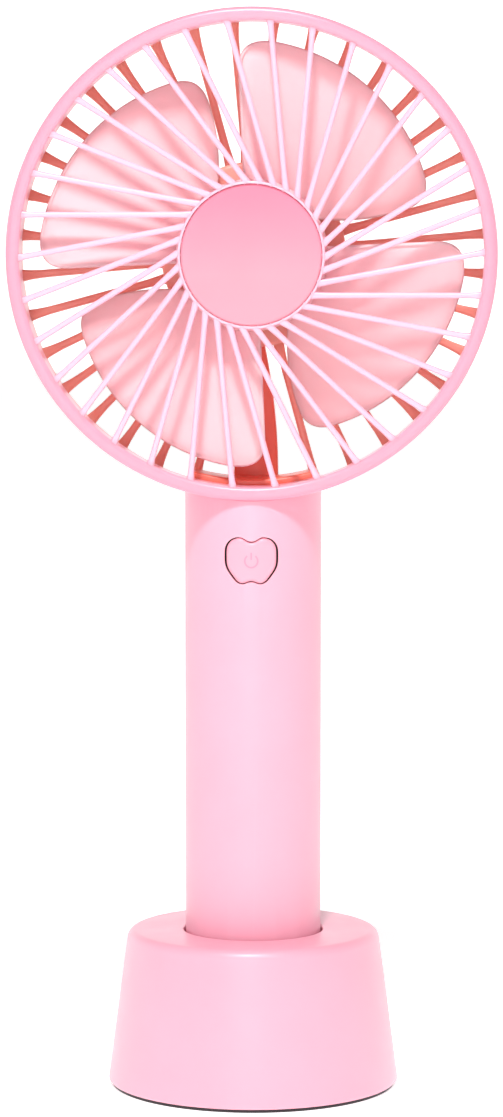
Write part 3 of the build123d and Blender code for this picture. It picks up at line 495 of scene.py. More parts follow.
COPPER = grain_material(
    "coil_copper", (0.62, 0.24, 0.09), 0.3, metallic=0.9, grain=0.25, bump=0.6
)
CORE = grain_material(
    "core_steel", (0.34, 0.35, 0.37), 0.42, metallic=1.0, grain=0.2, bump=0.4
)
BOARD = grain_material("board_green", (0.015, 0.13, 0.05), 0.3, coat=0.4, drift=0.2)
CHIP = grain_material("part_black", (0.018, 0.018, 0.02), 0.45, grain=0.08)
SOCKET = grain_material(
    "socket_steel", (0.68, 0.68, 0.68), 0.22, metallic=1.0, grain=0.3, bump=0.1
)
LAMP = grain_material("led_white", (0.85, 0.85, 0.74), 0.2, subsurface=0.3)
PIPE = grain_material("pipe_clear", (0.92, 0.93, 0.95), 0.12, transmission=0.8)
WRAP = grain_material("cell_wrap", (0.05, 0.18, 0.34), 0.22, coat=0.5, grain=0.5)
NICKEL = grain_material(
    "tab_nickel", (0.66, 0.64, 0.59), 0.3, metallic=1.0, grain=0.1, bump=0.15
)
FOAM = grain_material("pad_foam", (0.05, 0.05, 0.055), 0.9, grain=0.5, bump=0.9)
LEAD_RED = grain_material("lead_red", (0.55, 0.02, 0.015), 0.42)
LEAD_BLACK = grain_material("lead_black", (0.012, 0.012, 0.012), 0.42)

SLOT_LOOK = {
    "shell_pink": SHELL,
    "grille_pink": GRILLE,
    "housing_pink": HOUSING,
    "cap_pink": CAP,
    "blade_pink": BLADE,
    "button_pink": BUTTON,
    "foot_rubber": RUBBER,
    "screw_steel": STEEL,
    "motor_steel": CAN,
    "motor_nylon": NYLON,
    "magnet_black": MAGNET,
    "bush_brass": BRONZE,
    "coil_copper": COPPER,
    "core_steel": CORE,
    "board_green": BOARD,
    "part_black": CHIP,
    "socket_steel": SOCKET,
    "led_white": LAMP,
    "pipe_clear": PIPE,
    "cell_wrap": WRAP,
    "tab_nickel": NICKEL,
    "pad_foam": FOAM,
    "lead_red": LEAD_RED,
    "lead_black": LEAD_BLACK,
}
for row in frame["record"]["subparts"]:
    dress(NODES[row["node"]], SLOT_LOOK[row["material_slot"]])


def stand_for(obj, body, slot, *nodes):
    """Gives a detailed piece its body, its finish and the CAD nodes it is seen for."""
    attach(obj, body)
    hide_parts(*nodes)
    dress(obj, SLOT_LOOK[slot])


# ---- Base ----

base_body = lathe(
    "base_body",
    rounded(
        [
            (BASE_BOTTOM_RADIUS, BASE_FOOT_Z, 0.4),
            (BASE_TOP_RADIUS, BASE_TOP_Z, 2.0),
            (SOCKET_RADIUS, BASE_TOP_Z, 0.5),
            (SOCKET_RADIUS, HANDLE_BOTTOM_Z, 0.6),
            (0.0, HANDLE_BOTTOM_Z, 0.0),
            (0.0, HANDLE_BOTTOM_Z - SOCKET_FLOOR, 0.0),
            (SOCKET_OUTER, HANDLE_BOTTOM_Z - SOCKET_FLOOR, 0.6),
            (SOCKET_OUTER, BASE_TOP_Z - BASE_WALL, 0.6),
            (BASE_TOP_RADIUS - BASE_WALL, BASE_TOP_Z - BASE_WALL, 1.0),
            (BASE_BOTTOM_RADIUS - BASE_WALL, BASE_FOOT_Z, 0.2),
        ],
        9,
    ),
    upright,
    192,
)
stand_for(base_body, "base", "shell_pink", "base_shell", "base_socket")

foot_rings = []
for groove_radius in FOOT_GROOVES:
    foot_rings += [
        (groove_radius, 0.0, 0.15),
        (groove_radius - 0.3, GROOVE_DEPTH, 0.1),
        (groove_radius - GROOVE_WIDTH + 0.3, GROOVE_DEPTH, 0.1),
        (groove_radius - GROOVE_WIDTH, 0.0, 0.15),
    ]
base_foot = lathe(
    "base_foot",
    rounded(
        [(0.0, 0.0, 0.0), (0.0, BASE_FOOT_Z, 0.0), (PAD_RADIUS, BASE_FOOT_Z, 0.15)]
        + [(PAD_RADIUS, 0.0, 0.25)]
        + foot_rings,
        3,
    ),
    upright,
    128,
)
stand_for(base_foot, "base", "foot_rubber", "base_foot_pad")

# ---- Front grille ----

RING_INNER = 46.3
RING_FACE_DEPTH = 2.6
SEAM_GAP = 0.3
TONGUE_RADIUS = HEAD_RADIUS - SHROUD_WALL - 0.3
TONGUE_INNER = TONGUE_RADIUS - 1.1
RIB_COUNT = 34
RIB_WIDTH = 1.15
RIB_OFFSET = 8.0
RIB_FRONT_Y = -14.72
RIB_BACK_Y = -12.9
HUB_RADIUS = 14.7
HUB_BACK_Y = -12.6
HUB_BORE = 3.1
CAP_SEAT_Y = -13.4
CAP_GAP = 0.06
LUG_COUNT = 4
LUG_FIRST_ANGLE = 41
LUG_SWEEP = 8
LUG_FRONT_Y = -8.4
LUG_BACK_Y = -7.0

ring_profile = rounded(
    [
        (RING_INNER, FRONT_Y, 0.9),
        (HEAD_RADIUS, FRONT_Y, 1.15),
        (HEAD_RADIUS, SEAM_Y - SEAM_GAP, 0.25),
        (TONGUE_RADIUS, SEAM_Y - SEAM_GAP, 0.15),
        (TONGUE_RADIUS, TONGUE_BACK_Y, 0.3),
        (TONGUE_INNER, TONGUE_BACK_Y, 0.3),
        (TONGUE_INNER, FRONT_Y + RING_FACE_DEPTH, 0.3),
        (RING_INNER, FRONT_Y + RING_FACE_DEPTH, 0.4),
    ],
    6,
)
hub_profile = rounded(
    [
        (CAP_RADIUS + CAP_GAP, RIB_FRONT_Y - 0.06, 0.14),
        (HUB_RADIUS, RIB_FRONT_Y - 0.06, 0.28),
        (HUB_RADIUS, HUB_BACK_Y, 0.3),
        (HUB_BORE, HUB_BACK_Y, 0.1),
        (HUB_BORE, CAP_SEAT_Y, 0.1),
        (CAP_RADIUS + CAP_GAP, CAP_SEAT_Y, 0.1),
    ],
    5,
)
grille_parts = [
    lathe_points(ring_profile, 224, headwise),
    lathe_points(hub_profile, 128, headwise),
]


def grille_rib(turn):
    """A straight rib beside the centre, flared where it meets the hub and the ring."""
    stations = []
    for along, width in (
        (11.9, 1.5),
        (12.9, 1.36),
        (14.2, 1.22),
        (16.0, RIB_WIDTH),
        (24.0, RIB_WIDTH),
        (34.0, RIB_WIDTH),
        (43.0, RIB_WIDTH),
        (44.6, 1.26),
        (45.6, 1.6),
        (46.3, 2.2),
        (46.9, 2.6),
    ):
        x, y = -along, RIB_OFFSET
        cos, sin = math.cos(turn), math.sin(turn)
        stations.append((x * cos - y * sin, x * sin + y * cos, width))
    middle = (RIB_FRONT_Y + RIB_BACK_Y) / 2
    return rib(stations, middle, RIB_BACK_Y - RIB_FRONT_Y, 0.5)


for index in range(RIB_COUNT):
    grille_parts.append(grille_rib(2 * math.pi * index / RIB_COUNT))


def sector_outline(inner, outer, start, sweep, steps=8):
    """A closed outline between two radii over a sweep of angle, in degrees."""
    outline = [polar(outer, start + sweep * k / steps) for k in range(steps + 1)]
    outline += [polar(inner, start + sweep * k / steps) for k in range(steps, -1, -1)]
    return outline


for index in range(LUG_COUNT):
    lug_angle = LUG_FIRST_ANGLE + index * 360 / LUG_COUNT
    lug = sector_outline(TONGUE_RADIUS - 0.4, TONGUE_RADIUS + 0.6, lug_angle, LUG_SWEEP)
    grille_parts.append(slab(lug, LUG_FRONT_Y, LUG_BACK_Y, 0.12, headwise, 2))
grille = merge("grille", grille_parts)
stand_for(grille, "grille", "grille_pink", "front_grille")

# ---- Centre cap ----

CAP_RIM_Y = -14.4
CAP_DISH = 0.45
CAP_DISH_RADIUS = CAP_RADIUS * 0.94
CAP_DISH_STEPS = 12

dish = []
for index in range(CAP_DISH_STEPS):
    share = 1 - index / CAP_DISH_STEPS
    dish.append((CAP_DISH_RADIUS * share, CAP_RIM_Y + CAP_DISH * (1 - share**2)))
cap_profile = (
    [(0.0, CAP_RIM_Y + CAP_DISH), (0.0, CAP_SEAT_Y)]
    + [(CAP_RADIUS - 0.1, CAP_SEAT_Y), (CAP_RADIUS, CAP_SEAT_Y - 0.1)]
    + [(CAP_RADIUS, CAP_RIM_Y + 0.28), (CAP_RADIUS - 0.07, CAP_RIM_Y + 0.12)]
    + [(CAP_RADIUS - 0.22, CAP_RIM_Y + 0.03), (CAP_RADIUS - 0.5, CAP_RIM_Y)]
    + dish
)
hub_cap = lathe("hub_cap", cap_profile, headwise, 128)
stand_for(hub_cap, "grille", "cap_pink", "centre_cap")

# ---- Rear housing ----

REAR_RIB_COUNT = 36
REAR_RIB_WIDTH = 1.6
REAR_RIB_FRONT_Y = 8.6
REAR_RIB_DEPTH = 2.2
REAR_RIB_FIRST = -94.8
SHROUD_BORE = HEAD_RADIUS - SHROUD_WALL
SEAT_BORE = SEAT_RADIUS - 1.4
SEAT_FRONT_Y = 2.0
SEAT_STEP_Y = SEAT_FRONT_Y + 1.4
NOSE_RADIUS = 13.4
NOSE_BORE = 3.1
NOSE_FRONT_Y = -6.2
MOTOR_RADIUS = 12.2
MOTOR_FRONT_Y = -5.0
DUCT_FRONT_Y = 5.2
DUCT_TOP = -18.2
DUCT_LEFT_TOP_X = -3.1
DUCT_LEFT_SPREAD = 1.1
DUCT_LENGTH = 30.0
SADDLE_INNER = 45.2
SADDLE_FRONT_Y = -6.0
SADDLE_FIRST_ANGLE = -106.5
SADDLE_SWEEP = 33
SPIGOT_HALF_WIDTH = 10.6
SPIGOT_HALF_DEPTH = 1.5
SPIGOT_BOTTOM = low("rear_housing", 2) - HEAD_Z
SPIGOT_TOP = 1.1 - HEAD_RADIUS

shroud_profile = rounded(
    [
        (SHROUD_BORE, SEAM_Y, 0.25),
        (HEAD_RADIUS, SEAM_Y, 0.3),
        (HEAD_RADIUS, BACK_Y, 0.6),
        (SHROUD_BORE, BACK_Y, 0.5),
    ],
    5,
)
seat_profile = rounded(
    [
        (NOSE_BORE, NOSE_FRONT_Y, 0.15),
        (NOSE_RADIUS, NOSE_FRONT_Y, 0.5),
        (NOSE_RADIUS, SEAT_FRONT_Y, 0.6),
        (SEAT_RADIUS, SEAT_FRONT_Y, 0.9),
        (SEAT_RADIUS, BACK_Y, 0.5),
        (SEAT_BORE, BACK_Y, 0.25),
        (SEAT_BORE, SEAT_STEP_Y, 0.4),
        (MOTOR_RADIUS, SEAT_STEP_Y, 0.2),
        (MOTOR_RADIUS, MOTOR_FRONT_Y, 0.1),
        (NOSE_BORE, MOTOR_FRONT_Y, 0.1),
    ],
    5,
)
housing_parts = [
    lathe_points(shroud_profile, 224, headwise),
    lathe_points(seat_profile, 144, headwise),
]


def arc_through(a, b, c, steps):
    """Points along the circle through three points, from the first to the last."""
    ax, ay = a
    bx, by = b
    cx, cy = c
    d = 2 * (ax * (by - cy) + bx * (cy - ay) + cx * (ay - by))
    a2, b2, c2 = ax * ax + ay * ay, bx * bx + by * by, cx * cx + cy * cy
    ux = (a2 * (by - cy) + b2 * (cy - ay) + c2 * (ay - by)) / d
    uy = (a2 * (cx - bx) + b2 * (ax - cx) + c2 * (bx - ax)) / d
    radius = math.hypot(ax - ux, ay - uy)
    start = math.atan2(ay - uy, ax - ux)
    turn = math.atan2(cy - uy, cx - ux) - start
    turn = (turn + math.pi) % (2 * math.pi) - math.pi
    return [
        (
            ux + radius * math.cos(start + turn * k / steps),
            uy + radius * math.sin(start + turn * k / steps),
        )
        for k in range(steps + 1)
    ]


def rear_rib(angle):
    """A straight rib from the motor seat to the shroud, flared at both ends."""
    stations = []
    for radius, flare in (
        (18.3, 1.5),
        (20.0, 1.25),
        (22.5, 1.05),
        (26.0, 1.0),
        (33.0, 1.0),
        (41.0, 1.0),
        (44.0, 1.05),
        (46.2, 1.25),
        (48.2, 1.6),
    ):
        x, y = polar(radius, angle)
        stations.append((x, y, REAR_RIB_WIDTH * flare))
    return rib(stations, REAR_RIB_FRONT_Y + REAR_RIB_DEPTH / 2, REAR_RIB_DEPTH, 0.6)


# Two places of the ring of ribs are left out, where the wire duct runs down
for index in range(2, REAR_RIB_COUNT):
    housing_parts.append(rear_rib(REAR_RIB_FIRST + index * 360 / REAR_RIB_COUNT))

duct_right = arc_through((4.9, DUCT_TOP - DUCT_LENGTH), (4.2, -31.5), (2.1, DUCT_TOP), 14)
duct_left = [
    (DUCT_LEFT_TOP_X - DUCT_LEFT_SPREAD * k / 10, DUCT_TOP - DUCT_LENGTH * k / 10)
    for k in range(11)
]
duct_parts = [slab(duct_right + duct_left, DUCT_FRONT_Y, BACK_Y, 0.5, headwise, 3)]
saddle = sector_outline(
    SADDLE_INNER, SHROUD_BORE + 0.4, SADDLE_FIRST_ANGLE, SADDLE_SWEEP, 20
)
duct_parts.append(slab(saddle, SADDLE_FRONT_Y, DUCT_FRONT_Y, 0.5, headwise, 3))
# The flat tongue under the rim that the handle's shells are screwed through
tongue = rounded(
    [
        (-SPIGOT_HALF_WIDTH, SPIGOT_BOTTOM, 0.8),
        (SPIGOT_HALF_WIDTH, SPIGOT_BOTTOM, 0.8),
        (SPIGOT_HALF_WIDTH, SPIGOT_TOP, 0.0),
        (-SPIGOT_HALF_WIDTH, SPIGOT_TOP, 0.0),
    ]
)
housing_parts.append(
    slab(tongue, -SPIGOT_HALF_DEPTH, SPIGOT_HALF_DEPTH, 0.3, headwise, 3)
)
housing = merge("housing", housing_parts)
stand_for(housing, "fan_body", "housing_pink", "rear_housing")
duct = merge("duct", duct_parts)
stand_for(duct, "fan_body", "housing_pink", "rear_housing")
# The duct wears the deep red painted shade in place of the housing's pink.
dress(duct, DUCT_PAINTED_SHADE)

# ---- Motor cover ----

COVER_THICKNESS = 1.4
COVER_SLOTS = 8
COVER_SLOT_RADIUS = 9.5
COVER_SLOT_LENGTH = 6.0
COVER_SLOT_WIDTH = 1.6


def slot_outline(radius, angle, length, width):
    """A slot with round ends that points away from the centre."""
    cos, sin = math.cos(math.radians(angle)), math.sin(math.radians(angle))
    reach = (length - width) / 2
    points = []
    for end, first in ((1, -90), (-1, 90)):
        for k in range(9):
            turn = math.radians(first + 180 * k / 8)
            x = radius + end * reach + width / 2 * math.cos(turn)
            y = width / 2 * math.sin(turn)
            points.append((x * cos - y * sin, x * sin + y * cos))
    return points


cover_points, cover_faces = plate(
    [polar(SEAT_BORE - 0.05, 360 * k / 128) for k in range(128)],
    [
        slot_outline(COVER_SLOT_RADIUS, 45 * k, COVER_SLOT_LENGTH, COVER_SLOT_WIDTH)
        for k in range(COVER_SLOTS)
    ],
    BACK_Y - COVER_THICKNESS,
    BACK_Y,
    0.3,
)
cover = new_object("cover", [headwise(*point) for point in cover_points], cover_faces)
stand_for(cover, "fan_body", "shell_pink", "motor_cover")

# ---- Impeller ----

BLADE_COUNT = 4
BLADE_THICKNESS = 1.3
BLADE_MID_Y = -5.2
BLADE_AXIS = math.radians(56)
BLADE_ROOT = 8.0
BLADE_REACH = 38.0
BLADE_ROOT_PITCH = math.radians(20)
BLADE_TIP_PITCH = math.radians(6)
BLADE_CORNER = 6.2
IMPELLER_RADIUS = 15.2
IMPELLER_FRONT_Y = -11.0
IMPELLER_BACK_Y = 0.4
IMPELLER_WALL = 1.0
BOSS_RADIUS = 2.6
SHAFT_BORE = 1.0


def blade_depth(x, y):
    """How far back the middle of the blade lies at a point seen from the front."""
    out = x * math.cos(BLADE_AXIS) + y * math.sin(BLADE_AXIS)
    along = -x * math.sin(BLADE_AXIS) + y * math.cos(BLADE_AXIS)
    share = (out - BLADE_ROOT) / BLADE_REACH
    root, tip = math.sin(BLADE_ROOT_PITCH), math.sin(BLADE_TIP_PITCH)
    root_run, tip_run = math.cos(BLADE_ROOT_PITCH), math.cos(BLADE_TIP_PITCH)
    slope = (root + (tip - root) * share) / (root_run + (tip_run - root_run) * share)
    return BLADE_MID_Y - along * slope


def blade_outline():
    """The blade seen from the front: its hub arc, its open outline and its two corners."""
    hub = [polar(14.0, 97 - 66 * k / 8) for k in range(9)]
    trailing_end = polar(43.0, 94)
    tip = arc_through(trailing_end, polar(41.0, 57), polar(37.5, 17), 30)
    leading = arc_through(tip[-1], polar(27.0, 16.5), polar(14.0, 31), 16)
    trailing = [
        tuple(a + (b - a) * k / 14 for a, b in zip(polar(14.0, 97), trailing_end))
        for k in range(14)
    ]
    loop = trailing + tip + leading[1:-1]
    corners = [len(trailing), len(trailing) + len(tip) - 1]
    return hub, loop, corners


def soften(loop, corners, radius, steps=9):
    """Replaces chosen corners of an open run of points by arcs of a given radius."""
    out = list(loop)
    for corner in sorted(corners, reverse=True):
        here = Vector(out[corner])
        i, j = corner, corner
        before = Vector(out[corner - 1]) - here
        after = Vector(out[corner + 1]) - here
        turn = before.angle(after)
        reach = radius / math.tan(turn / 2)
        while (Vector(out[i]) - here).length < reach:
            i -= 1
        while (Vector(out[j]) - here).length < reach:
            j += 1
        start = here + (Vector(out[i]) - here).normalized() * reach
        end = here + (Vector(out[j]) - here).normalized() * reach
        bend = []
        for k in range(steps + 1):
            t = k / steps
            bend.append(tuple(start * (1 - t) ** 2 + here * 2 * t * (1 - t) + end * t**2))
        out[i + 1 : j] = bend
    return out


def blade(turn):
    """A twisted blade with rounded edges, turned about the head's axis."""
    hub, loop, corners = blade_outline()
    outline = soften(loop, corners, BLADE_CORNER) + list(reversed(hub))[:-1]
    centre_x = sum(p[0] for p in outline) / len(outline)
    centre_y = sum(p[1] for p in outline) / len(outline)
    half = BLADE_THICKNESS / 2
    edge = []
    for k in range(5):
        angle = math.pi / 2 * k / 4
        edge.append((half * (1 - math.sin(angle)), half * math.cos(angle)))
    cos, sin = math.cos(turn), math.sin(turn)

    def spot(x, y, offset):
        depth = blade_depth(x, y) + offset
        return headwise(x * cos - y * sin, x * sin + y * cos, depth)

    rings = []
    for side in (-1, 1):
        rows = []
        for share in (0.12, 0.3, 0.5, 0.68, 0.82, 0.91):
            ring = [
                (centre_x + (x - centre_x) * share, centre_y + (y - centre_y) * share)
                for x, y in outline
            ]
            rows.append([spot(x, y, side * half) for x, y in ring])
        for inset, offset in reversed(edge[1:] if side == 1 else edge):
            ring = inset_outline(outline, inset)
            rows.append([spot(x, y, side * offset) for x, y in ring])
        rings.append(rows)
    front, back = rings
    ordered = front + list(reversed(back))
    return loft(ordered)


hub_inner = IMPELLER_RADIUS - IMPELLER_WALL
impeller_profile = rounded(
    [
        (0.0, IMPELLER_FRONT_Y, 0.0),
        (IMPELLER_RADIUS, IMPELLER_FRONT_Y, 1.4),
        (IMPELLER_RADIUS, IMPELLER_BACK_Y, 0.35),
        (hub_inner, IMPELLER_BACK_Y, 0.35),
        (hub_inner, IMPELLER_FRONT_Y + 1.4, 0.5),
        (BOSS_RADIUS, IMPELLER_FRONT_Y + 1.4, 0.3),
        (BOSS_RADIUS, NOSE_FRONT_Y - 0.4, 0.2),
        (SHAFT_BORE, NOSE_FRONT_Y - 0.4, 0.1),
        (SHAFT_BORE, IMPELLER_FRONT_Y + 0.6, 0.0),
        (0.0, IMPELLER_FRONT_Y + 0.6, 0.0),
    ],
    6,
)
fan_parts = [lathe_points(impeller_profile, 128, headwise)]
for index in range(BLADE_COUNT):
    fan_parts.append(blade(2 * math.pi * index / BLADE_COUNT))
fan_wheel = merge("fan_wheel", fan_parts, 40)
stand_for(fan_wheel, "rotor", "blade_pink", "impeller")

# ---- Handle ----

BUTTON_HEIGHT = 9.2
BUTTON_CIRCLES = ((2.6, 2.0, 2.6), (1.5, 0.0, 3.7), (1.75, -2.75, 1.85))
DIP_RADIUS = 2.2
BUTTON_TOP_DIP = 0.95
BUTTON_BOTTOM_DIP = 0.55
BUTTON_PROUD = 0.15
BUTTON_GAP = 0.17
SCREW_X = 7.0
SCREW_HEIGHTS = (84.0, 118.2)
USB_Z = 99.0
LED_Z = 105.0
TOP_GAP = 0.05
SHELL_EDGE = 0.12
SHELL_STRIPS = 72
STRAIGHT_X = 10.0
SCREW_HOLE_RADIUS = 2.05
COLUMN_RADIUS = 2.4
COLUMN_BORE = 1.1
COLUMN_FRONT_Y = 1.6
COLUMN_SEAT_Y = 8.0
COLUMN_BACK_Y = 10.6
LED_HOLE_RADIUS = 1.25
USB_HALF_WIDTH = 4.7
USB_HALF_HEIGHT = 2.2
USB_CORNER = 2.15


def rounder(angle, depth):
    """The angle at a depth inside the wall; near the middle, edges run straight back."""
    knee = math.asin(STRAIGHT_X / HANDLE_RADIUS)
    inner_knee = math.asin(STRAIGHT_X / (HANDLE_RADIUS - depth))
    size = abs(angle)
    if size <= knee:
        inner = math.asin(HANDLE_RADIUS * math.sin(size) / (HANDLE_RADIUS - depth))
    else:
        share = (size - knee) / (math.pi / 2 - knee)
        inner = inner_knee + share * (math.pi / 2 - inner_knee)
    return math.copysign(inner, angle)


def on_handle(side, run, z, depth):
    """A point of the handle's wall, from its arc length off the middle of one half."""
    angle = rounder(run / HANDLE_RADIUS, depth)
    radius = HANDLE_RADIUS - depth
    return (side * radius * math.sin(angle), -side * radius * math.cos(angle), z)


def arc_run(x):
    """The arc length round the handle at which a point lies x from its middle plane."""
    return HANDLE_RADIUS * math.asin(x / HANDLE_RADIUS)


def half_shell(name, side, holes):
    """Half of the handle's tube, its top cut to the head's curve, with shaped holes."""
    half = HANDLE_RADIUS * math.pi / 2 - 0.02
    foot = SHELL_BOTTOM_Z + 0.02
    outline = [(-half + 2 * half * k / 8, foot) for k in range(9)]
    for k in range(41):
        run = half - 2 * half * k / 40
        x = HANDLE_RADIUS * math.sin(run / HANDLE_RADIUS)
        reach = HEAD_RADIUS + TOP_GAP
        outline.append((run, HEAD_Z - math.sqrt(reach * reach - x * x)))
    points, faces = plate(outline, holes, 0.0, HANDLE_WALL, SHELL_EDGE)
    mesh = bpy.data.meshes.new(name)
    mesh.from_pydata(points, [], faces)
    work = bmesh.new()
    work.from_mesh(mesh)
    bpy.data.meshes.remove(mesh)
    bmesh.ops.remove_doubles(work, verts=work.verts, dist=0.002)
    for k in range(1, SHELL_STRIPS):
        cut = -half + 2 * half * k / SHELL_STRIPS
        everything = work.verts[:] + work.edges[:] + work.faces[:]
        bmesh.ops.bisect_plane(
            work, geom=everything, dist=0.0005, plane_co=(cut, 0, 0), plane_no=(1, 0, 0)
        )
    work.verts.index_update()
    vertices = [on_handle(side, v.co.x, v.co.y, v.co.z) for v in work.verts]
    cells = [tuple(v.index for v in face.verts) for face in work.faces]
    work.free()
    return vertices, cells


def resample(outline, count):
    """The same closed outline with evenly spaced points."""
    marks, total = [0.0], 0.0
    for i in range(len(outline)):
        total += math.dist(outline[i], outline[(i + 1) % len(outline)])
        marks.append(total)
    out, i = [], 0
    for k in range(count):
        goal = total * k / count
        while marks[i + 1] < goal:
            i += 1
        share = (goal - marks[i]) / ((marks[i + 1] - marks[i]) or 1.0)
        a, b = outline[i], outline[(i + 1) % len(outline)]
        out.append((a[0] + (b[0] - a[0]) * share, a[1] + (b[1] - a[1]) * share))
    return out


def smooth_outline(outline, rounds):
    """The same closed outline with its kinks eased."""
    for _ in range(rounds):
        outline = [
            tuple(
                outline[i - 1][axis] / 4
                + outline[i][axis] / 2
                + outline[(i + 1) % len(outline)][axis] / 4
                for axis in (0, 1)
            )
            for i in range(len(outline))
        ]
    return outline


def hull(points):
    """The convex outline round a set of points, counter-clockwise."""
    points = sorted(set(points))
    out = []
    for run in (points, points[::-1]):
        start = len(out)
        for x, y in run:
            while len(out) >= start + 2:
                (ax, ay), (bx, by) = out[-2], out[-1]
                if (bx - ax) * (y - ay) - (by - ay) * (x - ax) > 0:
                    break
                out.pop()
            out.append((x, y))
        out.pop()
    return out


def dipped(grow):
    """The button's outline: a cushion, narrower below, with a dip at top and bottom."""
    points = []
    for x, y, radius in BUTTON_CIRCLES:
        for side in (-x, x):
            for k in range(72):
                px, py = polar(radius + grow, 5 * k)
                points.append((side + px, y + py))
    shaped = []
    for x, y in resample(hull(points), 144):
        dip = BUTTON_TOP_DIP if y > 0 else BUTTON_BOTTOM_DIP
        centre = BUTTON_HEIGHT / 2 - dip + DIP_RADIUS
        gap = DIP_RADIUS - grow
        if abs(x) < gap:
            limit = centre - math.sqrt(gap * gap - x * x)
            y = math.copysign(min(abs(y), limit), y)
        shaped.append((x, y))
    return smooth_outline(resample(shaped, 144), 7)


def wall_hole(outline, z):
    """An outline seen from straight in front, laid out on the handle's unrolled wall."""
    return [(arc_run(x), z + y) for x, y in outline]


def circle(radius, x=0.0, count=40):
    """A round outline about a point on the x axis."""
    turns = [2 * math.pi * k / count for k in range(count)]
    return [(x + radius * math.cos(turn), radius * math.sin(turn)) for turn in turns]


handle_front = merge(
    "handle_front", [half_shell("front", 1, [wall_hole(dipped(BUTTON_GAP), BUTTON_Z)])]
)
stand_for(handle_front, "fan_body", "shell_pink", "handle_front_shell")

usb_outline = rounded(
    [
        (USB_HALF_WIDTH, USB_HALF_HEIGHT, USB_CORNER),
        (-USB_HALF_WIDTH, USB_HALF_HEIGHT, USB_CORNER),
        (-USB_HALF_WIDTH, -USB_HALF_HEIGHT, USB_CORNER),
        (USB_HALF_WIDTH, -USB_HALF_HEIGHT, USB_CORNER),
    ],
    8,
)
back_holes = [wall_hole(usb_outline, USB_Z), wall_hole(circle(LED_HOLE_RADIUS), LED_Z)]
back_parts = []
screw_column = rounded(
    [
        (SCREW_HOLE_RADIUS + 0.01, COLUMN_BACK_Y, 0.0),
        (COLUMN_RADIUS, COLUMN_BACK_Y, 0.0),
        (COLUMN_RADIUS, COLUMN_FRONT_Y, 0.1),
        (COLUMN_BORE, COLUMN_FRONT_Y, 0.1),
        (COLUMN_BORE, COLUMN_SEAT_Y, 0.1),
        (SCREW_HOLE_RADIUS + 0.01, COLUMN_SEAT_Y, 0.1),
    ],
    2,
)
for z in SCREW_HEIGHTS:
    for x in (-SCREW_X, SCREW_X):
        back_holes.append(wall_hole(circle(SCREW_HOLE_RADIUS, x), z))
        back_parts.append(
            lathe_points(screw_column, 32, lambda a, b, h, x=x, z=z: (x + a, h, z + b))
        )
back_parts.append(half_shell("back", -1, back_holes))
handle_rear = merge("handle_rear", back_parts)
stand_for(handle_rear, "fan_body", "shell_pink", "handle_rear_shell")

end_cap = lathe(
    "end_cap",
    rounded(
        [
            (0.0, HANDLE_BOTTOM_Z + 0.5, 0.0),
            (9.4, HANDLE_BOTTOM_Z + 0.5, 0.3),
            (9.9, HANDLE_BOTTOM_Z, 0.25),
            (HANDLE_RADIUS, HANDLE_BOTTOM_Z, 0.9),
            (HANDLE_RADIUS, SHELL_BOTTOM_Z - 0.02, 0.15),
            (HANDLE_BORE - 0.06, SHELL_BOTTOM_Z - 0.02, 0.05),
            (HANDLE_BORE - 0.06, SHELL_BOTTOM_Z + 3.4, 0.2),
            (HANDLE_BORE - 1.05, SHELL_BOTTOM_Z + 3.4, 0.2),
            (HANDLE_BORE - 1.05, SHELL_BOTTOM_Z - 0.02, 0.1),
            (0.0, SHELL_BOTTOM_Z - 0.02, 0.0),
        ],
        5,
    ),
    upright,
    160,
)
stand_for(end_cap, "fan_body", "shell_pink", "handle_end_cap")

# ---- Power button ----

BUTTON_FACE = HANDLE_RADIUS + BUTTON_PROUD
BUTTON_EDGE = 1.0
BUTTON_EDGE_DROP = 0.62
BUTTON_SKIRT_RADII = (HANDLE_RADIUS - 2.6, HANDLE_RADIUS - 1.2)


def button_point(x, y, radius):
    """A point over the button's outline at a distance from the handle's axis."""
    angle = math.asin(x / BUTTON_FACE)
    return (radius * math.sin(angle), -radius * math.cos(angle), BUTTON_Z + y)


def button_radius(inset):
    """The button's surface, curved down to its edge over the last part of the way."""
    if inset >= BUTTON_EDGE:
        return BUTTON_FACE
    share = 1 - inset / BUTTON_EDGE
    return BUTTON_FACE - BUTTON_EDGE_DROP * (1 - math.sqrt(max(1 - share * share, 0.0)))


button_rings = []
for radius in BUTTON_SKIRT_RADII:
    button_rings.append([button_point(x, y, radius) for x, y in dipped(0.0)])
for inset in (0.0, 0.02, 0.08, 0.18, 0.32, 0.5, 0.75, BUTTON_EDGE):
    ring = dipped(-inset)
    button_rings.append([button_point(x, y, button_radius(inset)) for x, y in ring])
for share in (0.85, 0.65, 0.45, 0.25, 0.08):
    ring = [(x * share, y * share) for x, y in dipped(-BUTTON_EDGE)]
    button_rings.append([button_point(x, y, BUTTON_FACE) for x, y in ring])
button_cap = merge("button_cap", [loft(button_rings)])
stand_for(button_cap, "button", "button_pink", "power_button")


def inlay(points, width):
    """A thin strip laid into the button's face along a line of (x, y) points."""
    rings = []
    for i, (x, y) in enumerate(points):
        ax, ay = points[max(i - 1, 0)]
        bx, by = points[min(i + 1, len(points) - 1)]
        length = math.hypot(bx - ax, by - ay)
        nx, ny = -(by - ay) / length * width / 2, (bx - ax) / length * width / 2
        rings.append(
            [
                button_point(x - nx, y - ny, BUTTON_FACE - 0.1),
                button_point(x - nx, y - ny, BUTTON_FACE + 0.02),
                button_point(x + nx, y + ny, BUTTON_FACE + 0.02),
                button_point(x + nx, y + ny, BUTTON_FACE - 0.1),
            ]
        )
    return loft(rings)


ICON_RADIUS = 1.3
ICON_LINE = 0.34
ICON_HALF_GAP = 38
ICON_BAR_BOTTOM = 0.25
ICON_BAR_LENGTH = 1.45

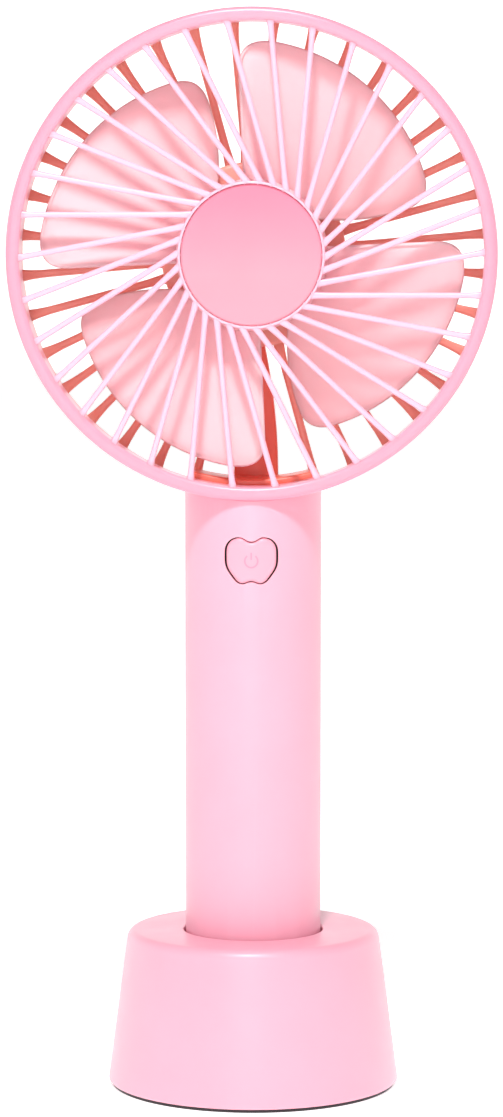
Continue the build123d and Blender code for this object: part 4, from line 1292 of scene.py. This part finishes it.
icon_sweep = 360 - 2 * ICON_HALF_GAP
icon_ring = [polar(ICON_RADIUS, 90 + ICON_HALF_GAP + icon_sweep * k / 40) for k in range(41)]
icon_bar = [(0.0, ICON_BAR_BOTTOM + ICON_BAR_LENGTH * k / 4) for k in range(5)]
button_icon = merge(
    "button_icon", [inlay(icon_ring, ICON_LINE), inlay(icon_bar, ICON_LINE)]
)
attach(button_icon, "button")
dress(button_icon, ICON)

# ---- Camera and light ----

camera_data = bpy.data.cameras.new("camera")
camera_data.lens = 118.95
camera_data.sensor_width = 36.0
camera_data.clip_end = 20.0
camera = bpy.data.objects.new("camera", camera_data)
camera.location = (0.021, -0.75, 0.1736)
camera.rotation_euler = (math.radians(85.012), 0, math.radians(1.63))
bpy.context.scene.collection.objects.link(camera)
bpy.context.scene.camera = camera


def soft_light(name, place, target, size, power, colour=(1, 1, 1)):
    """A square area light aimed at a point."""
    data = bpy.data.lights.new(name, "AREA")
    data.shape = "RECTANGLE"
    data.size, data.size_y = size
    data.energy = power
    data.color = colour
    light = bpy.data.objects.new(name, data)
    light.location = place
    aim = Vector(target) - Vector(place)
    light.rotation_euler = aim.to_track_quat("-Z", "Y").to_euler()
    bpy.context.scene.collection.objects.link(light)
    return light


soft_light("key", (-0.06, -1.0, 0.28), (0, 0, 0.12), (0.28, 0.9), 2.2)
soft_light("arch", (-0.04, -0.66, 1.02), (0, 0, 0.12), (0.14, 0.14), 10.3)


def studio_world(back, side, front, above):
    """A white studio: its brightness towards +Y, +-X, -Y and straight up."""
    world = bpy.data.worlds.new("studio")
    world.use_nodes = True
    nodes, links = world.node_tree.nodes, world.node_tree.links
    backdrop = nodes["Background"]
    place = nodes.new("ShaderNodeTexCoord")
    split = nodes.new("ShaderNodeSeparateXYZ")
    links.new(place.outputs["Generated"], split.inputs["Vector"])
    depth = nodes.new("ShaderNodeMapRange")
    depth.inputs["From Min"].default_value = -1.0
    links.new(split.outputs["Y"], depth.inputs["Value"])
    ramp = nodes.new("ShaderNodeValToRGB")
    ramp.color_ramp.interpolation = "EASE"
    stops = ramp.color_ramp.elements
    stops[0].position, stops[0].color = 0.0, (front, front, front, 1)
    stops[1].position, stops[1].color = 1.0, (back, back, back, 1)
    middle = stops.new(0.5)
    middle.color = (side, side, side, 1)
    near_back = stops.new(0.82)
    near_back.color = (back, back, back, 1)
    links.new(depth.outputs["Result"], ramp.inputs["Fac"])
    lift = nodes.new("ShaderNodeMapRange")
    lift.inputs["From Min"].default_value = 0.25
    lift.inputs["From Max"].default_value = 0.6
    links.new(split.outputs["Z"], lift.inputs["Value"])
    blend = nodes.new("ShaderNodeMix")
    blend.data_type = "RGBA"
    blend.inputs["B"].default_value = (above, above, above, 1)
    links.new(lift.outputs["Result"], blend.inputs["Factor"])
    links.new(ramp.outputs["Color"], blend.inputs["A"])
    links.new(blend.outputs["Result"], backdrop.inputs["Color"])
    backdrop.inputs["Strength"].default_value = 1.0
    return world


bpy.context.scene.world = studio_world(1.4, 0.58, 0.18, 0.24)
bpy.context.scene.view_settings.view_transform = "Standard"

FLOOR_REACH = 4000
floor_corners = [
    (x * FLOOR_REACH, y * FLOOR_REACH, 0) for x, y in ((-1, -1), (1, -1), (1, 1), (-1, 1))
]
floor = new_object("floor", floor_corners, [(0, 1, 2, 3)])
paper = grain_material("floor_paper", (0.93, 0.93, 0.93), 0.7, grain=0.4, drift=0.01)
paper_shader = paper.node_tree.nodes["Principled BSDF"]
paper_shader.inputs["Emission Color"].default_value = (1, 1, 1, 1)
paper_shader.inputs["Emission Strength"].default_value = 0.63
dress(floor, paper)
